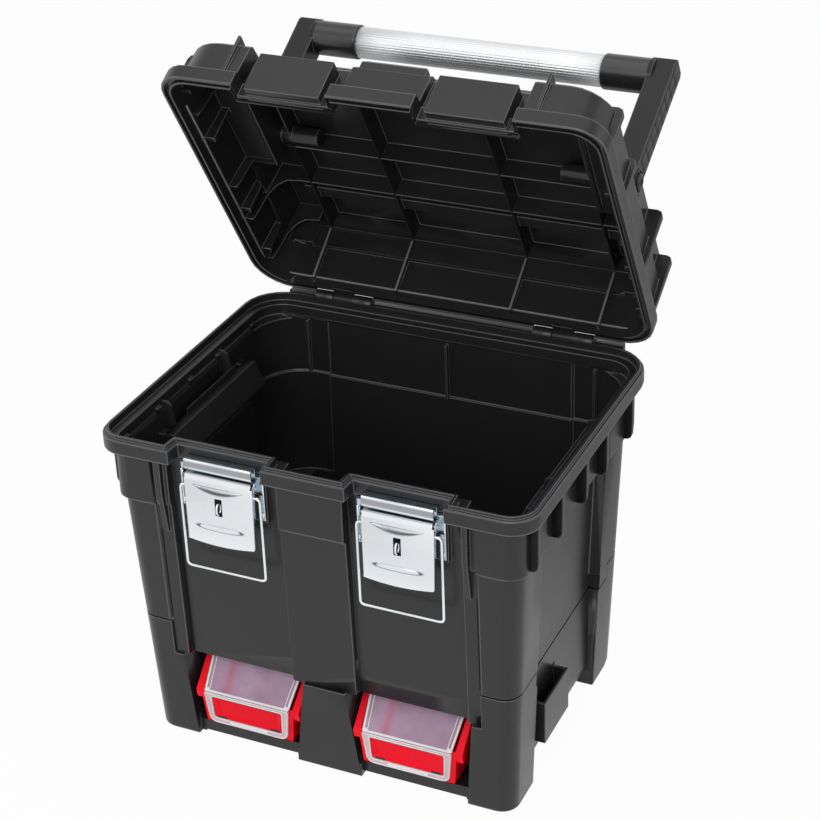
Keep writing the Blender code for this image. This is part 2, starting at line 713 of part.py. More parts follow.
def make_base():
    """Lower frame with posts, bin bays, deck and side holders."""
    base = loft([
        level(post_ring(wall_a(0) - 1.5, wall_b(0) - 1.5), 0.0),
        level(post_ring(wall_a(2), wall_b(2)), 2.0),
        level(post_ring(wall_a(POST_TOP_Z), wall_b(POST_TOP_Z)), POST_TOP_Z - SEAT),
    ])
    deep = 260.0
    top = FLOOR_Z - GAP
    cut(base, box(-CORNER_X - GAP, CORNER_X + GAP, -deep, deep, top, 160.0))
    cut(base, box(-LOW_SIDE_A - GAP, LOW_SIDE_A + GAP, -CORNER_Y - GAP, REAR_CORNER_Y + GAP, top, 160.0))
    cut(base, box(-deep, deep, -CORNER_Y - GAP, REAR_CORNER_Y + GAP, SIDE_JOINT_Z - SEAT, 160.0))
    for sign in (-1.0, 1.0):
        x0, x1 = sorted((sign * SIDE_PANEL_X, sign * deep))
        cut(base, box(x0, x1, SIDE_Y0, SIDE_Y1, -5.0, 160.0))
        cut(base, bay_cutter(sign), *leg_hollows(sign))
        cut(base, *front_recess(sign))
    inner_z = BIN_FLOOR_Z - 4.0
    half = POST_IN_FOOT_X - 6.0
    cut(base, box(-half, half, SILL_Y + 4.0, BAY_BACK_Y, -5.0, inner_z))
    cut(base, box(-half, half, RAIL_Y + 6.0, SILL_Y + 1.0, -5.0, RAIL_Z1 - 4.0))
    for sign in (-1.0, 1.0):
        x0, x1 = sorted((sign * (POST_FOOT_HALF - 1.0), sign * (POST_IN_FOOT_X + 0.4)))
        cut(base, box(x0, x1, RAIL_Y - 2.0, SILL_Y, RAIL_Z1 + 0.4, BIN_FLOOR_Z + 0.5))
    cut(base, box(-POST_IN_TOP_X, POST_IN_TOP_X, BAY_BACK_Y + 3.0, 152.0, -5.0, DECK_Z0))
    cut(base, box(-19.0, 19.0, -150.0, BAY_BACK_Y - 3.0, -5.0, DECK_Z0))
    cut(base, box(-deep, deep, SIDE_Y0, SIDE_Y1, -5.0, RAIL_Z0))
    cut(base, box(-146.0, 146.0, -deep, deep, -5.0, RAIL_Z0))
    for sign in (-1.0, 1.0):
        x0, x1 = sorted((sign * 19.5, sign * POST_FOOT_HALF))
        add(base, box(x0, x1, -157.0, -146.0, 0.0, RAIL_Z1))
    add(base, box(-20.0, 20.0, -157.0, -153.0, 0.0, RAIL_Z1))
    for sign in (-1.0, 1.0):
        x0, x1 = sorted((sign * (POST_IN_TOP_X + 6.0), sign * deep))
        cut(base, box(x0, x1, SIDE_Y0, SIDE_Y1, -5.0, SIDE_PANEL_Z0))
        add(base, side_holder(sign))
        cut(base, holder_pocket(sign))
    return finish(base, "base_frame", BLACK)


def lid_front(inset, panel_d, centre_d):
    """Front features of the lid plan: rim notches over the latches and the centre block."""
    return (STRIP_X, 0.0, NOTCH_X + inset, panel_d, NOTCH_IN_X - inset, centre_d)


def lid_ring(inset, panel_d=NOTCH_D, centre_d=0.0, front_r=LID_R):
    """Plan of the lid at an inset from its rim."""
    front = lid_front(0.0 if inset < 5 else 3.0, panel_d, centre_d)
    radii = (front_r - inset * 0.6, LID_BACK_R - inset * 0.6)
    side = (SIDE_Y0, SIDE_Y1, 0.0)
    return outline(LID_A - inset, LID_FRONT - inset, LID_BACK - inset, radii, front, side)


def lid_shell():
    """Rim and low part of the lid in one body: from the ceiling down the inside, round the rim and up."""
    return loft([
        level(lid_ring(13.5, NOTCH_D + 2.0, 11.0, LID_LOW_R), LID_LOW_Z - WALL),
        level(lid_ring(10.5, NOTCH_D, 11.0, LID_LOW_R), LID_BAND_Z),
        level(lid_ring(10.0), LID_BAND_Z - 4.0),
        level(lid_ring(9.5), LID_Z),
        level(lid_ring(7.5), LID_Z),
        level(lid_ring(7.5), LID_Z + 5.0),
        level(lid_ring(3.0), LID_Z + 5.0),
        level(lid_ring(3.0), LID_Z),
        level(lid_ring(0.8), LID_Z),
        level(lid_ring(0.0), LID_Z + 1.0),
        level(lid_ring(0.0), LID_BAND_Z - 1.0),
        level(lid_ring(0.8), LID_BAND_Z),
        level(lid_ring(6.5, NOTCH_D, 11.0, LID_LOW_R), LID_BAND_Z),
        level(lid_ring(8.5, NOTCH_D + 1.0, 11.0, LID_LOW_R), LID_LOW_Z - 4.0),
        level(lid_ring(12.5, NOTCH_D + 1.0, 11.0, LID_LOW_R), LID_LOW_Z),
    ])


def high_block(half, y0, y1, z0, z1, inset):
    """A drafted block of the lid's raised part."""
    rings = []
    rows = ((z0, 0.0), (z1 - 4.0, inset), (z1, inset + 4.0)) if inset else ((z0, 0.0), (z1, 3.0))
    for z, shrink in rows:
        ring = np.array([
            (-half + shrink, y0 + shrink), (half - shrink, y0 + shrink),
            (half - shrink, y1 - shrink), (-half + shrink, y1 - shrink),
        ])
        rings.append(level(ring, z))
    return loft(rings)


def lid_hood(sign):
    """Hood over one latch, solid with a stepped back."""
    x0, x1 = sorted((sign * HOOD_IN_X, sign * HOOD_OUT_X))
    hood = box(x0, x1, HOOD_Y, HOOD_Y + 20.0, HOOD_Z0, HOOD_Z1)
    return cut(hood, box(x0 - 1, x1 + 1, HOOD_Y + 8.6, HOOD_Y + 30.0, HOOD_Z0 - 1, LID_Z + 2.0))


def side_fin(sign, y, half, z0, z1):
    """An upright fin on one side of the lid with a rounded top corner, carried along Y."""
    out = FIN_OUT_X
    ring = [(FIN_IN_X, z0), (out, z0), (out, z1 - 6.0), (out - 1.8, z1 - 1.8), (out - 6.0, z1), (FIN_IN_X, z1)]
    near = np.array([(sign * x, y - half, z) for x, z in ring])
    return loft([near, near + (0.0, 2 * half, 0.0)])


def lid_fins():
    """Side fins of the lid and a rib at each end of its front."""
    made = []
    tops = ((-138.0, FIN_LOW_Z), (-63.4, FIN_LOW_Z), (54.0, LID_TOP_Z - 8.0), (126.0, LID_TOP_Z - 11.5))
    for y, z1 in tops:
        made += [side_fin(sign, y, 3.0, LID_BAND_Z - 2.0, z1) for sign in (-1.0, 1.0)]
    for sign in (-1.0, 1.0):
        x0, x1 = sorted((sign * (STRIP_X - 11.0), sign * (STRIP_X - 7.8)))
        made.append(box(x0, x1, 4.0 - LID_FRONT, 18.0 - LID_FRONT, LID_BAND_Z - 2.0, LID_LOW_Z + 5.0))
    return made


def side_web(sign, y0, y1, wall, lean=0.0):
    """A web inside the lid's raised side, from a crosswise rib round and down to a foot near the rim."""
    top = SHOULDER_X - 6.2
    roof = LID_TOP_Z - 4.0 - 30.0 * lean
    foot = LID_LOW_Z - 7.0
    ring = [
        (HIGH_X - 4.0, RIB_Z + 0.5), (HIGH_X + 12.0, RIB_Z - 1.5), (HIGH_X + 20.0, RIB_Z - 9.5),
        (HIGH_X + 25.0, RIB_Z - 22.5), (HIGH_X + 28.0, LID_Z + 17.0), (HIGH_X + 30.0, LID_Z + 13.5),
        (wall + 1.0, LID_Z + 13.5), (wall - 0.5, LID_LOW_Z - 9.0), (wall - 3.0, LID_LOW_Z - 1.5),
        (SHOULDER_X - 2.5, LID_LOW_Z - 1.5), (top, roof - 0.2), (HIGH_X - 4.0, roof + 0.3),
    ]
    near = np.array([(sign * x, y0 + lean * max(0.0, z - foot), z) for x, z in ring])
    return loft([near, near + (0.0, y1 - y0, 0.0)])


def low_web(sign, y0, y1, wall):
    """A web inside the lid's low front part, from the ceiling down to a foot near the rim."""
    low = LID_LOW_Z - 1.5
    ring = [
        (HIGH_X + 15.0, low), (HIGH_X + 22.0, low - 3.5), (HIGH_X + 27.0, low - 11.5),
        (HIGH_X + 30.0, LID_Z + 17.0), (HIGH_X + 32.0, LID_Z + 13.5),
        (wall + 1.0, LID_Z + 13.5), (wall - 0.5, LID_LOW_Z - 9.0), (wall - 3.0, low),
    ]
    near = np.array([(sign * x, y0, z) for x, z in ring])
    return loft([near, near + (0.0, y1 - y0, 0.0)])


def lid_webs():
    """Webs on the inner side walls of the lid, for both sides."""
    half = RIB_T / 2
    wall = LID_A - 9.5
    low_y, mid_y, rear_y = WEB_Y
    made = []
    for sign in (-1.0, 1.0):
        made.append(low_web(sign, low_y - half, low_y + half, wall))
        made.append(side_web(sign, SHOULDER_Y + 0.6, SHOULDER_Y + 3.2, wall, 3.0 / 39.0))
        made.append(side_web(sign, mid_y - half, mid_y + half, wall))
        made.append(side_web(sign, rear_y - half, rear_y + half, wall - 2.5))
    return made


def lid_ribs():
    """Thin ribs under the lid: lengthwise and crosswise, and low feet down the back wall."""
    made = []
    half = RIB_T / 2
    for x in RIB_X:
        profile = [
            (HIGH_FRONT_Y + 1.0, RIB_Z), (148.5, RIB_Z), (156.0, LID_Z + 6.0),
            (163.0, LID_Z + 6.0), (151.0, LID_TOP_Z - 1.0), (HIGH_FRONT_Y + 1.0, LID_TOP_Z - 1.0),
        ]
        made.append(prism_x(profile, x - half, x + half))
    for y in RIB_Y:
        made.append(box(-HIGH_X + 1.0, HIGH_X - 1.0, y - half, y + half, RIB_Z + 0.5, LID_TOP_Z - 1.0))
    made.append(box(-HIGH_X + 1.0, HIGH_X - 1.0, *STRIP_Y, RIB_Z + 6.0, LID_TOP_Z - 1.0))
    return made


def make_lid():
    """Lid with raised top, hoods, fins, ribs, handle bosses and hinge knuckles, turned to its open rest."""
    lid = lid_shell()
    add(lid, high_block(HIGH_X, HIGH_FRONT_Y, HIGH_BACK_Y + 2, LID_LOW_Z - 8.0, LID_TOP_Z, 3.0))
    add(lid, high_block(SHOULDER_X, SHOULDER_Y, HIGH_BACK_Y, LID_LOW_Z - 7.0, LID_TOP_Z - 2.0, 3.0))
    add(lid, high_block(CENTRE_X, 19.0 - LID_FRONT, 29.5 - LID_FRONT, LID_BAND_Z - 1.0, LID_LOW_Z + 8.5, 1.0))
    add(lid, *mirrored(lid_hood))
    add(lid, *lid_fins())
    t = WALL + 0.5
    cut(lid, high_block(HIGH_X - t, HIGH_FRONT_Y + t, HIGH_BACK_Y - t, LID_LOW_Z - 10.0, LID_TOP_Z - t, 0.0))
    cut(lid, high_block(SHOULDER_X - t, SHOULDER_Y + t, HIGH_BACK_Y - t - 1, LID_LOW_Z - 10.0, LID_TOP_Z - t - 2, 0.0))
    add(lid, *lid_ribs())
    add(lid, *lid_webs())
    for sign in (-1.0, 1.0):
        x0, x1 = sorted((sign * BOSS_IN_X, sign * (ARM_IN_X - GAP)))
        add(lid, rod_x(PIVOT_Y, PIVOT_Z, 9.0, x0, x1))
        x0, x1 = sorted((sign * (BOLT_IN_X - 2.0), sign * (SHOULDER_X + 10.0)))
        cut(lid, rod_x(PIVOT_Y, PIVOT_Z, BOLT_R + GAP, x0, x1))
    spans_tub, spans_lid = hinge_spans()
    for sign in (-1.0, 1.0):
        mid = sign * HINGE_X
        half = HINGE_HALF + 0.6
        cut(lid, box(mid - half, mid + half, HINGE_Y - 7.7, HINGE_Y + 8.3, LID_Z - 5.0, HINGE_Z + KNUCKLE_R + 0.8))
    for x0, x1 in spans_lid:
        add(lid, box(x0, x1, HINGE_Y - 14.7, HINGE_Y, LID_Z + 0.4, HINGE_Z + KNUCKLE_R))
        add(lid, rod_x(HINGE_Y, HINGE_Z, KNUCKLE_R, x0, x1))
    for sign in (-1.0, 1.0):
        mid = sign * HINGE_X
        reach = HINGE_HALF + 4.0
        cut(lid, rod_x(HINGE_Y, HINGE_Z, PIN_R + GAP, mid - reach, mid + reach, 12))
    return finish(lid, "lid", BLACK, (0.0, HINGE_Y, HINGE_Z), True)


def arm_profile():
    """Side view of a handle arm: round at the pivot, square with small chamfers at the tube."""
    lean = Vector((TUBE_Y - PIVOT_Y, TUBE_Z - PIVOT_Z)).normalized()
    side = Vector((lean.y, -lean.x))
    pivot = Vector((PIVOT_Y, PIVOT_Z))
    top = Vector((TUBE_Y, TUBE_Z)) + lean * (SOCKET_R - 1.0)
    pts = []
    for i in range(9):
        angle = i / 8 * pi
        pts.append(pivot + ARM_HALF * (side * cos(angle) - lean * sin(angle)))
    pts.append(top - side * ARM_HALF - lean * 4.0)
    pts.append(top - side * (ARM_HALF - 4.0))
    pts.append(top + side * (ARM_HALF - 4.0))
    pts.append(top + side * ARM_HALF - lean * 4.0)
    return [(p.x, p.y) for p in pts]


def make_handle():
    """Two moulded elbows, the tube between them and the pivot bolts."""
    origin = (0.0, PIVOT_Y, PIVOT_Z)
    for sign, side in ((-1.0, "left"), (1.0, "right")):
        x0, x1 = sorted((sign * ARM_IN_X, sign * ARM_OUT_X))
        arm = prism_x(arm_profile(), x0, x1)
        x0, x1 = sorted((sign * (TUBE_HALF + GAP), sign * (ARM_IN_X + 5.0)))
        add(arm, rod_x(TUBE_Y, TUBE_Z, SOCKET_R, x0, x1, 28))
        x0, x1 = sorted((sign * (TUBE_HALF - 22.0), sign * (TUBE_HALF + 5.0)))
        add(arm, rod_x(TUBE_Y, TUBE_Z, TUBE_R - TUBE_WALL - GAP, x0, x1, 24))
        cut(arm, rod_x(PIVOT_Y, PIVOT_Z, BOLT_R + GAP, -230.0, 230.0))
        finish(arm, "handle_arm_" + side, BLACK, origin, True)
        x0, x1 = sorted((sign * BOLT_IN_X, sign * (ARM_OUT_X + 2.0)))
        bolt = rod_x(PIVOT_Y, PIVOT_Z, BOLT_R, x0, x1)
        x0, x1 = sorted((sign * (ARM_OUT_X + GAP), sign * (ARM_OUT_X + 4.5)))
        add(bolt, rod_x(PIVOT_Y, PIVOT_Z, BOLT_HEAD_R, x0, x1, 24))
        finish(bolt, "handle_bolt_" + side, ZINC, (sign * ARM_OUT_X, PIVOT_Y, PIVOT_Z), True)
    tube = pipe_x(TUBE_Y, TUBE_Z, TUBE_R, TUBE_R - TUBE_WALL, -TUBE_HALF, TUBE_HALF)
    finish(tube, "handle_tube", ALU, origin, True)


def make_latch_plate(mid, side):
    """Back plate with flanges, bent top strip and two ears for the pin."""
    front = PAD_Y - GAP - SHEET
    plate = box(mid - FLANGE_HALF, mid + FLANGE_HALF, front, PAD_Y - GAP, LATCH_Z0, LATCH_Z1)
    hood_y = -168.6
    add(plate, box(mid - STRIP_HALF, mid + STRIP_HALF, front, PAD_Y - GAP, LATCH_Z1 - 2.0, 341.0))
    add(plate, box(mid - STRIP_HALF, mid + STRIP_HALF, hood_y, PAD_Y - GAP - 0.2, 339.8, 341.0))
    add(plate, box(mid - STRIP_HALF, mid + STRIP_HALF, hood_y - SHEET, hood_y + 0.2, 329.5, 341.0))
    for sign in (-1.0, 1.0):
        x0, x1 = sorted((mid + sign * (LEVER_HALF + 0.6), mid + sign * (LEVER_HALF + 1.8)))
        ear = [
            (front + 0.4, 314.0), (front + 0.4, 330.0), (PIN_Y - 2.0, 328.0),
            (PIN_Y - 4.2, 324.0), (PIN_Y - 4.2, 319.0), (PIN_Y, 316.0),
        ]
        add(plate, prism_x(ear, x0, x1))
    cut(plate, rod_x(PIN_Y, PIN_Z, PIN_R - 0.2 + GAP, mid - 45.0, mid + 45.0, 12))
    for sign in (-1.0, 1.0):
        hole = rivet_rod(mid + sign * RIVET_X, 1.3 + GAP, -170.0, -140.0)
        cut(plate, hole)
    finish(plate, "latch_plate_" + side, ZINC)


def rivet_rod(x, radius, y0, y1, sides=12, z=RIVET_Z):
    """A round bar along Y for rivets and their holes."""
    turn = np.arange(sides) * 2 * pi / sides
    ring = np.column_stack([x + radius * np.cos(turn), z + radius * np.sin(turn)])
    rows = [np.column_stack([ring[:, 0], np.full(sides, y), ring[:, 1]]) for y in (y0, y1)]
    return loft(rows)


def make_rivets(mid, side):
    """Two rivets that hold a back plate to the tub."""
    front = PAD_Y - GAP - SHEET
    for sign in (-1.0, 1.0):
        outer = (sign > 0) == (mid > 0)
        x = mid + sign * RIVET_X
        rivet = rivet_rod(x, 1.3, front - 1.0, PAD_Y - 0.1)
        add(rivet, rivet_rod(x, 2.5, front - 1.4, front - GAP))
        name = "latch_rivet_" + side + ("_outer" if outer else "_inner")
        finish(rivet, name, ZINC)


def lever_shape(mid):
    """Lever plate with a bowed lower edge, carried from its roll down to the foot."""
    span = np.linspace(-1.0, 1.0, 11)
    low = [(mid + t * LEVER_HALF, LEVER_Z + 3.2 * t * t) for t in span]
    top = PIN_Z - 1.0
    ring = low + [(mid + LEVER_HALF, top), (mid - LEVER_HALF, top)]

    def lean(z):
        return LEVER_Y - LEVER_TILT * (top - z) / (top - LEVER_Z)

    front = np.array([(x, lean(z) - SHEET, z) for x, z in ring])
    back = np.array([(x, lean(z), z) for x, z in ring])
    return loft([front, back])


def make_lever(mid, side):
    """Latch lever with rolled top, side tabs for the wire and the staple slot."""
    lever = lever_shape(mid)
    add(lever, rod_x(PIN_Y, PIN_Z, ROLL_R + 0.6, mid - LEVER_HALF, mid + LEVER_HALF, 20))
    for sign in (-1.0, 1.0):
        x0, x1 = sorted((mid + sign * (LEVER_HALF - SHEET), mid + sign * LEVER_HALF))
        tab = [
            (-171.6, BAIL_Z - 9.0), (-171.6, BAIL_Z + 6.0),
            (BAIL_Y + 3.2, BAIL_Z + 3.5), (BAIL_Y + 3.2, BAIL_Z - 4.0),
        ]
        add(lever, prism_x(tab, x0, x1))
    cut(lever, rod_x(BAIL_Y, BAIL_Z, BAIL_R + GAP, mid - 45.0, mid + 45.0, 12))
    cut(lever, rod_x(PIN_Y, PIN_Z, PIN_R - 0.2 + GAP, mid - 45.0, mid + 45.0, 12))
    cut(lever, box(mid - 4.5, mid + 4.5, -180.0, -165.0, 289.0, 307.5))
    finish(lever, "latch_lever_" + side, ZINC, (mid, PIN_Y, PIN_Z))


def make_bail(mid, side):
    """Wire bail that hangs from the lever and hooks over the lid's hood."""
    left, right = mid - BAIL_HALF, mid + BAIL_HALF
    start = (mid - LEVER_HALF + 4.0, BAIL_Y, BAIL_Z)
    end = (mid + LEVER_HALF - 4.0, BAIL_Y, BAIL_Z)
    a, b = (left, BAIL_Y, BAIL_Z), (left, BAIL_Y, BAIL_LOW_Z)
    c, d = (right, BAIL_Y, BAIL_LOW_Z), (right, BAIL_Y, BAIL_Z)
    path = [start] + bend(a, start, b, 4.0) + bend(b, a, c, 6.0)
    path += bend(c, b, d, 6.0) + bend(d, c, end, 4.0) + [end]
    finish(wire(path, BAIL_R), "latch_bail_" + side, ZINC, (mid, BAIL_Y, BAIL_Z))


def make_staple(mid, side):
    """Padlock loop on the back plate."""
    root = PAD_Y - 2 * GAP - SHEET
    tip = -178.0
    a, b = (mid, tip, 303.5), (mid, tip, 294.0)
    path = [(mid, root, 303.5)] + bend(a, (mid, root, 303.5), b, 4.0)
    path += bend(b, a, (mid, root, 294.0), 4.0) + [(mid, root, 294.0)]
    finish(wire(path, STAPLE_R), "latch_staple_" + side, ZINC)


def make_latches():
    """Both draw latches."""
    for sign, side in ((-1.0, "left"), (1.0, "right")):
        mid = sign * LATCH_X
        make_latch_plate(mid, side)
        make_rivets(mid, side)
        pin = rod_x(PIN_Y, PIN_Z, PIN_R - 0.2, mid - LEVER_HALF - 2.6, mid + LEVER_HALF + 2.6, 12)
        finish(pin, "latch_pin_" + side, ZINC, (mid, PIN_Y, PIN_Z))
        make_lever(mid, side)
        make_bail(mid, side)
        make_staple(mid, side)


def bin_profile(inset):
    """Side view of a bin: floor, leaning front wall, slope under the flap, open top edge and back."""
    front = BIN_FRONT_Y + inset
    slope = BIN_TOP_Z - BIN_LIP_Z
    low = BIN_FLOOR_Z + inset
    return [
        (BIN_BACK_Y - inset, low), (front, low), (front - BIN_LEAN, BIN_LIP_Z),
        (front - BIN_LEAN + slope, BIN_TOP_Z), (BIN_BACK_Y - inset, BIN_TOP_Z),
    ]


def bin_half(z, half_low, half_high):
    """Half width of a bin at a height."""
    share = (z - BIN_FLOOR_Z) / (BIN_TOP_Z - BIN_FLOOR_Z)
    return half_low + (half_high - half_low) * share


def bin_body(mid, inset, lift=0.0):
    """A bin's solid form, wider at the top."""
    low, high = BIN_BOTTOM_HALF - inset, BIN_HALF - inset
    left, right = [], []
    for y, z in bin_profile(inset):
        half = bin_half(z, low, high)
        left.append((mid - half, y, z + (lift if z > BIN_FLOOR_Z + 5 else 0.0)))
        right.append((mid + half, y, z + (lift if z > BIN_FLOOR_Z + 5 else 0.0)))
    return loft([np.array(left), np.array(right)])


def bin_flange(mid, sign):
    """Edge strip that stands out along the slope and the top of one bin side."""
    lip = BIN_LIP_Z - 10.0
    front = BIN_FRONT_Y - BIN_LEAN + 2.0
    slope = BIN_TOP_Z - BIN_LIP_Z
    y_top = BIN_FRONT_Y - BIN_LEAN + slope
    profile = [
        (front, lip), (front - 1.9, BIN_LIP_Z), (y_top, BIN_TOP_Z), (BIN_BACK_Y, BIN_TOP_Z),
        (BIN_BACK_Y, BIN_TOP_Z - 3.0), (y_top + 8.0, BIN_TOP_Z - 10.0), (front + 6.0, lip),
    ]
    x0, x1 = sorted((mid + sign * (BIN_HALF - 4.5), mid + sign * BIN_FLANGE_HALF))
    return prism_x(profile, x0, x1)


def make_bin(mid, side):
    """Open red bin with side flanges and a trough for the flap's barrel."""
    made = bin_body(mid, 0.0)
    add(made, bin_flange(mid, -1.0), bin_flange(mid, 1.0))
    trough = box(mid - 36.5, mid + 36.5, BIN_FRONT_Y - 0.6, BIN_FRONT_Y + 1.0, BIN_FLOOR_Z, BIN_FLOOR_Z + 1.6)
    add(made, trough)
    cut(made, bin_body(mid, BIN_T, 3.0))
    finish(made, "bin_" + side, RED, (mid, BIN_FRONT_Y, BIN_FLOOR_Z))


def flap_profile():
    """Side view of the clear flap: upright frame at the front and a window leaning back over the slope."""
    gap = 0.5
    slope = BIN_TOP_Z - BIN_LIP_Z
    inner_low = BIN_FRONT_Y - 0.2 - gap
    inner_lip = BIN_FRONT_Y - BIN_LEAN - gap
    z_lip = BIN_LIP_Z + gap * 0.5
    reach = slope - 1.0
    t = FLAP_T
    d = t * 1.414 - t
    return [
        (inner_low, FLAP_PIN_Z), (inner_lip, z_lip), (inner_lip + reach, z_lip + reach),
        (inner_lip + reach - t * 0.707, z_lip + reach + t * 0.707),
        (inner_lip - t, z_lip + d + 0.4), (inner_low - t, FLAP_PIN_Z),
    ]


def make_flap(mid, side):
    """Clear flap that turns on the lower front edge of its bin."""
    sides = []
    for sign in (-1.0, 1.0):
        sides.append(np.array([(mid + sign * bin_half(z, FLAP_LOW_HALF, FLAP_HALF), y, z) for y, z in flap_profile()]))
    flap = loft(sides)
    low, high = FLAP_PIN_Z + 3.6, BIN_LIP_Z - 5.9
    cut(flap, box(mid - 38.5, mid + 38.5, BIN_FRONT_Y - 20.0, BIN_FRONT_Y + 8.0, low, high))
    y = BIN_FRONT_Y - 0.7 - FLAP_PIN_R
    add(flap, rod_x(y, FLAP_PIN_Z, FLAP_PIN_R, mid - 36.0, mid + 36.0, 12))
    finish(flap, "bin_flap_" + side, CLEAR, (mid, y, FLAP_PIN_Z))


def make_bins():
    """Both bins with their flaps."""
    for sign, side in ((-1.0, "left"), (1.0, "right")):
        make_bin(sign * BIN_X, side)
        make_flap(sign * BIN_X, side)


def main():
    """Build every piece."""
    clear_scene()
    make_tub()
    make_base()
    make_inner_rails()
    make_hinge_pins()
    make_lid()
    make_handle()
    make_latches()
    make_bins()


main()
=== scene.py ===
"""Looks of an open black tool box with a bar handle, bail latches and red bins in its base."""
import logging
import math
from dataclasses import dataclass, replace
from enum import Enum
from functools import lru_cache
from typing import Callable, Optional, Sequence, Union

import bmesh
import bpy
import numpy as np
from mathutils import Matrix, Vector


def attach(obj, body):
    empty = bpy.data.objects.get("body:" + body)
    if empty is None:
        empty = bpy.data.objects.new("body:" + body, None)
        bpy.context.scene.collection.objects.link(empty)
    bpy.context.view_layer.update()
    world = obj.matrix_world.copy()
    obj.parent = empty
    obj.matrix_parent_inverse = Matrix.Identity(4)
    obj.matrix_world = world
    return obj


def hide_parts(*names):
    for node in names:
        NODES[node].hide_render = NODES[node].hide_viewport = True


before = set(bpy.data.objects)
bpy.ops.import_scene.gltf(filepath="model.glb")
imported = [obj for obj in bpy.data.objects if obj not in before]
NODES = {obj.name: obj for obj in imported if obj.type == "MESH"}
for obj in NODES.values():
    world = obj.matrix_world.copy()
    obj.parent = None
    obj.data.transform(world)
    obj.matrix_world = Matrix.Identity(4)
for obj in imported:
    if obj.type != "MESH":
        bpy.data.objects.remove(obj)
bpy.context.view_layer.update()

LOG = logging.getLogger("tool_box")
Array = np.ndarray
Piece = bpy.types.Object
Material = bpy.types.Material
Tree = bpy.types.NodeTree
Socket = bpy.types.NodeSocket
Term = Union[Socket, float, Sequence[float]]

MM = 0.001  # metres in a millimetre
CENTRE_Y = 50.67  # the drawing's Y of the frame's origin, in mm
SHIFT = np.array([0.0, CENTRE_Y, 0.0])
HINGE = np.array([173.7, 350.6])  # Y and Z of the lid's hinge line, in mm
LID_OPEN = math.radians(59.1)
BOTH = (-1.0, 1.0)  # signs of the left and the right
FORWARD = (0.0, -1.0, 0.0)
ROOT_2, ROOT_HALF = math.sqrt(2.0), math.sqrt(0.5)

# Rounding of moulded edges
MERGE = 2e-5  # points of a CAD mesh closer than this, in metres, are one
FLAT_TURN = math.radians(0.4)  # faces that turn less than this are one flat face
RUN_TURN = math.radians(35.0)  # edges of a face that turn less than this are one run
ROUND_TURN = math.radians(33.0)  # edges between faces that turn at least this much are rounded
ROUND_FACES = 2  # faces across a rounded edge
LEAST_ROUND = 0.14  # mm; edges with less room stay sharp
MOST_ROUND = 4.0  # mm; of edges with a rounding of their own
ROOM_SHARE = 0.42  # share of a face's room that one rounding may take
EASE = 0.45  # share of its rounding that an edge keeps where a face has folded
FOLD_COSINE = 0.9  # a triangle that turns further than this from its face has folded
FLAT_WEIGHT = 60  # how far flat faces rule the normals of the roundings beside them


class Side(Enum):
    """Left or right half of the box, with the sign of its X."""

    LEFT = -1
    RIGHT = 1

    @property
    def word(self) -> str:
        """Lower-case name used in piece names."""
        return self.name.lower()


class Body(Enum):
    """Rigid bodies of the frame that single pieces ride on."""

    BOX = "box"
    LID = "lid"
    HANDLE = "handle"


class Slot(Enum):
    """Material slots, one for each kind of finish."""

    BLACK = "black_plastic"
    RED = "red_plastic"
    CLEAR = "clear_plastic"
    ZINC = "zinc_steel"
    ALUMINIUM = "ribbed_aluminium"


# Shader groups and finishes


class Wiring:
    """Short calls to add and link nodes in one tree; a term is a socket, a number or a colour."""

    def __init__(self, tree: Tree) -> None:
        """Keep the tree that the nodes go into."""
        self.tree = tree

    def feed(self, made: bpy.types.Node, inputs: dict) -> None:
        """Link or set inputs of a node.

        Args:
            made: the node.
            inputs: term by input name or number.
        """
        for key, term in inputs.items():
            if isinstance(term, Socket):
                self.tree.links.new(term, made.inputs[key])
            else:
                made.inputs[key].default_value = term

    def node(self, kind: str, inputs: Optional[dict] = None, **values) -> bpy.types.Node:
        """Add a node.

        Args:
            kind: Blender's node type.
            inputs: term by input name or number.
            values: attributes of the node, set first.

        Returns:
            The node.
        """
        made = self.tree.nodes.new(kind)
        for key, value in values.items():
            setattr(made, key, value)
        self.feed(made, inputs or {})
        return made

    def maths(self, operation: str, *terms: Term) -> Socket:
        """Value of one math node on the terms."""
        return self.node("ShaderNodeMath", dict(enumerate(terms)), operation=operation).outputs[0]

    def mix(self, share: Term, first: Term, second: Term) -> Socket:
        """Blend of two colours, each a socket or its red, green and blue."""
        one, two = (c if isinstance(c, Socket) else (*c, 1.0) for c in (first, second))
        return self.node("ShaderNodeMix", {0: share, 6: one, 7: two}, data_type="RGBA").outputs[2]

    def noise(self, vector: Socket, scale: Term, detail: float, rough: float = 0.5) -> Socket:
        """Value of a noise texture."""
        inputs = {"Vector": vector, "Scale": scale, "Detail": detail, "Roughness": rough}
        return self.node("ShaderNodeTexNoise", inputs).outputs["Fac"]

    def ramp(self, value: Term, low: float, high: float, to_low: float = 0.0, to_high: float = 1.0) -> Socket:
        """Value mapped from one range to another and held at its ends."""
        inputs = {"Value": value, "From Min": low, "From Max": high, "To Min": to_low, "To Max": to_high}
        return self.node("ShaderNodeMapRange", inputs).outputs["Result"]

    def bump(self, height: Socket, strength: float, depth: float) -> Socket:
        """Normal of a surface bumped by a height, with its depth in mm."""
        inputs = {"Height": height, "Strength": strength, "Distance": depth * MM}
        return self.node("ShaderNodeBump", inputs).outputs["Normal"]

    def place(self) -> Socket:
        """The piece's own coordinates."""
        return self.node("ShaderNodeTexCoord").outputs["Object"]

    def painted(self, name: str) -> Socket:
        """The number painted on the piece under a name, and 0 where there is none."""
        return self.node("ShaderNodeAttribute", attribute_name=name).outputs["Fac"]


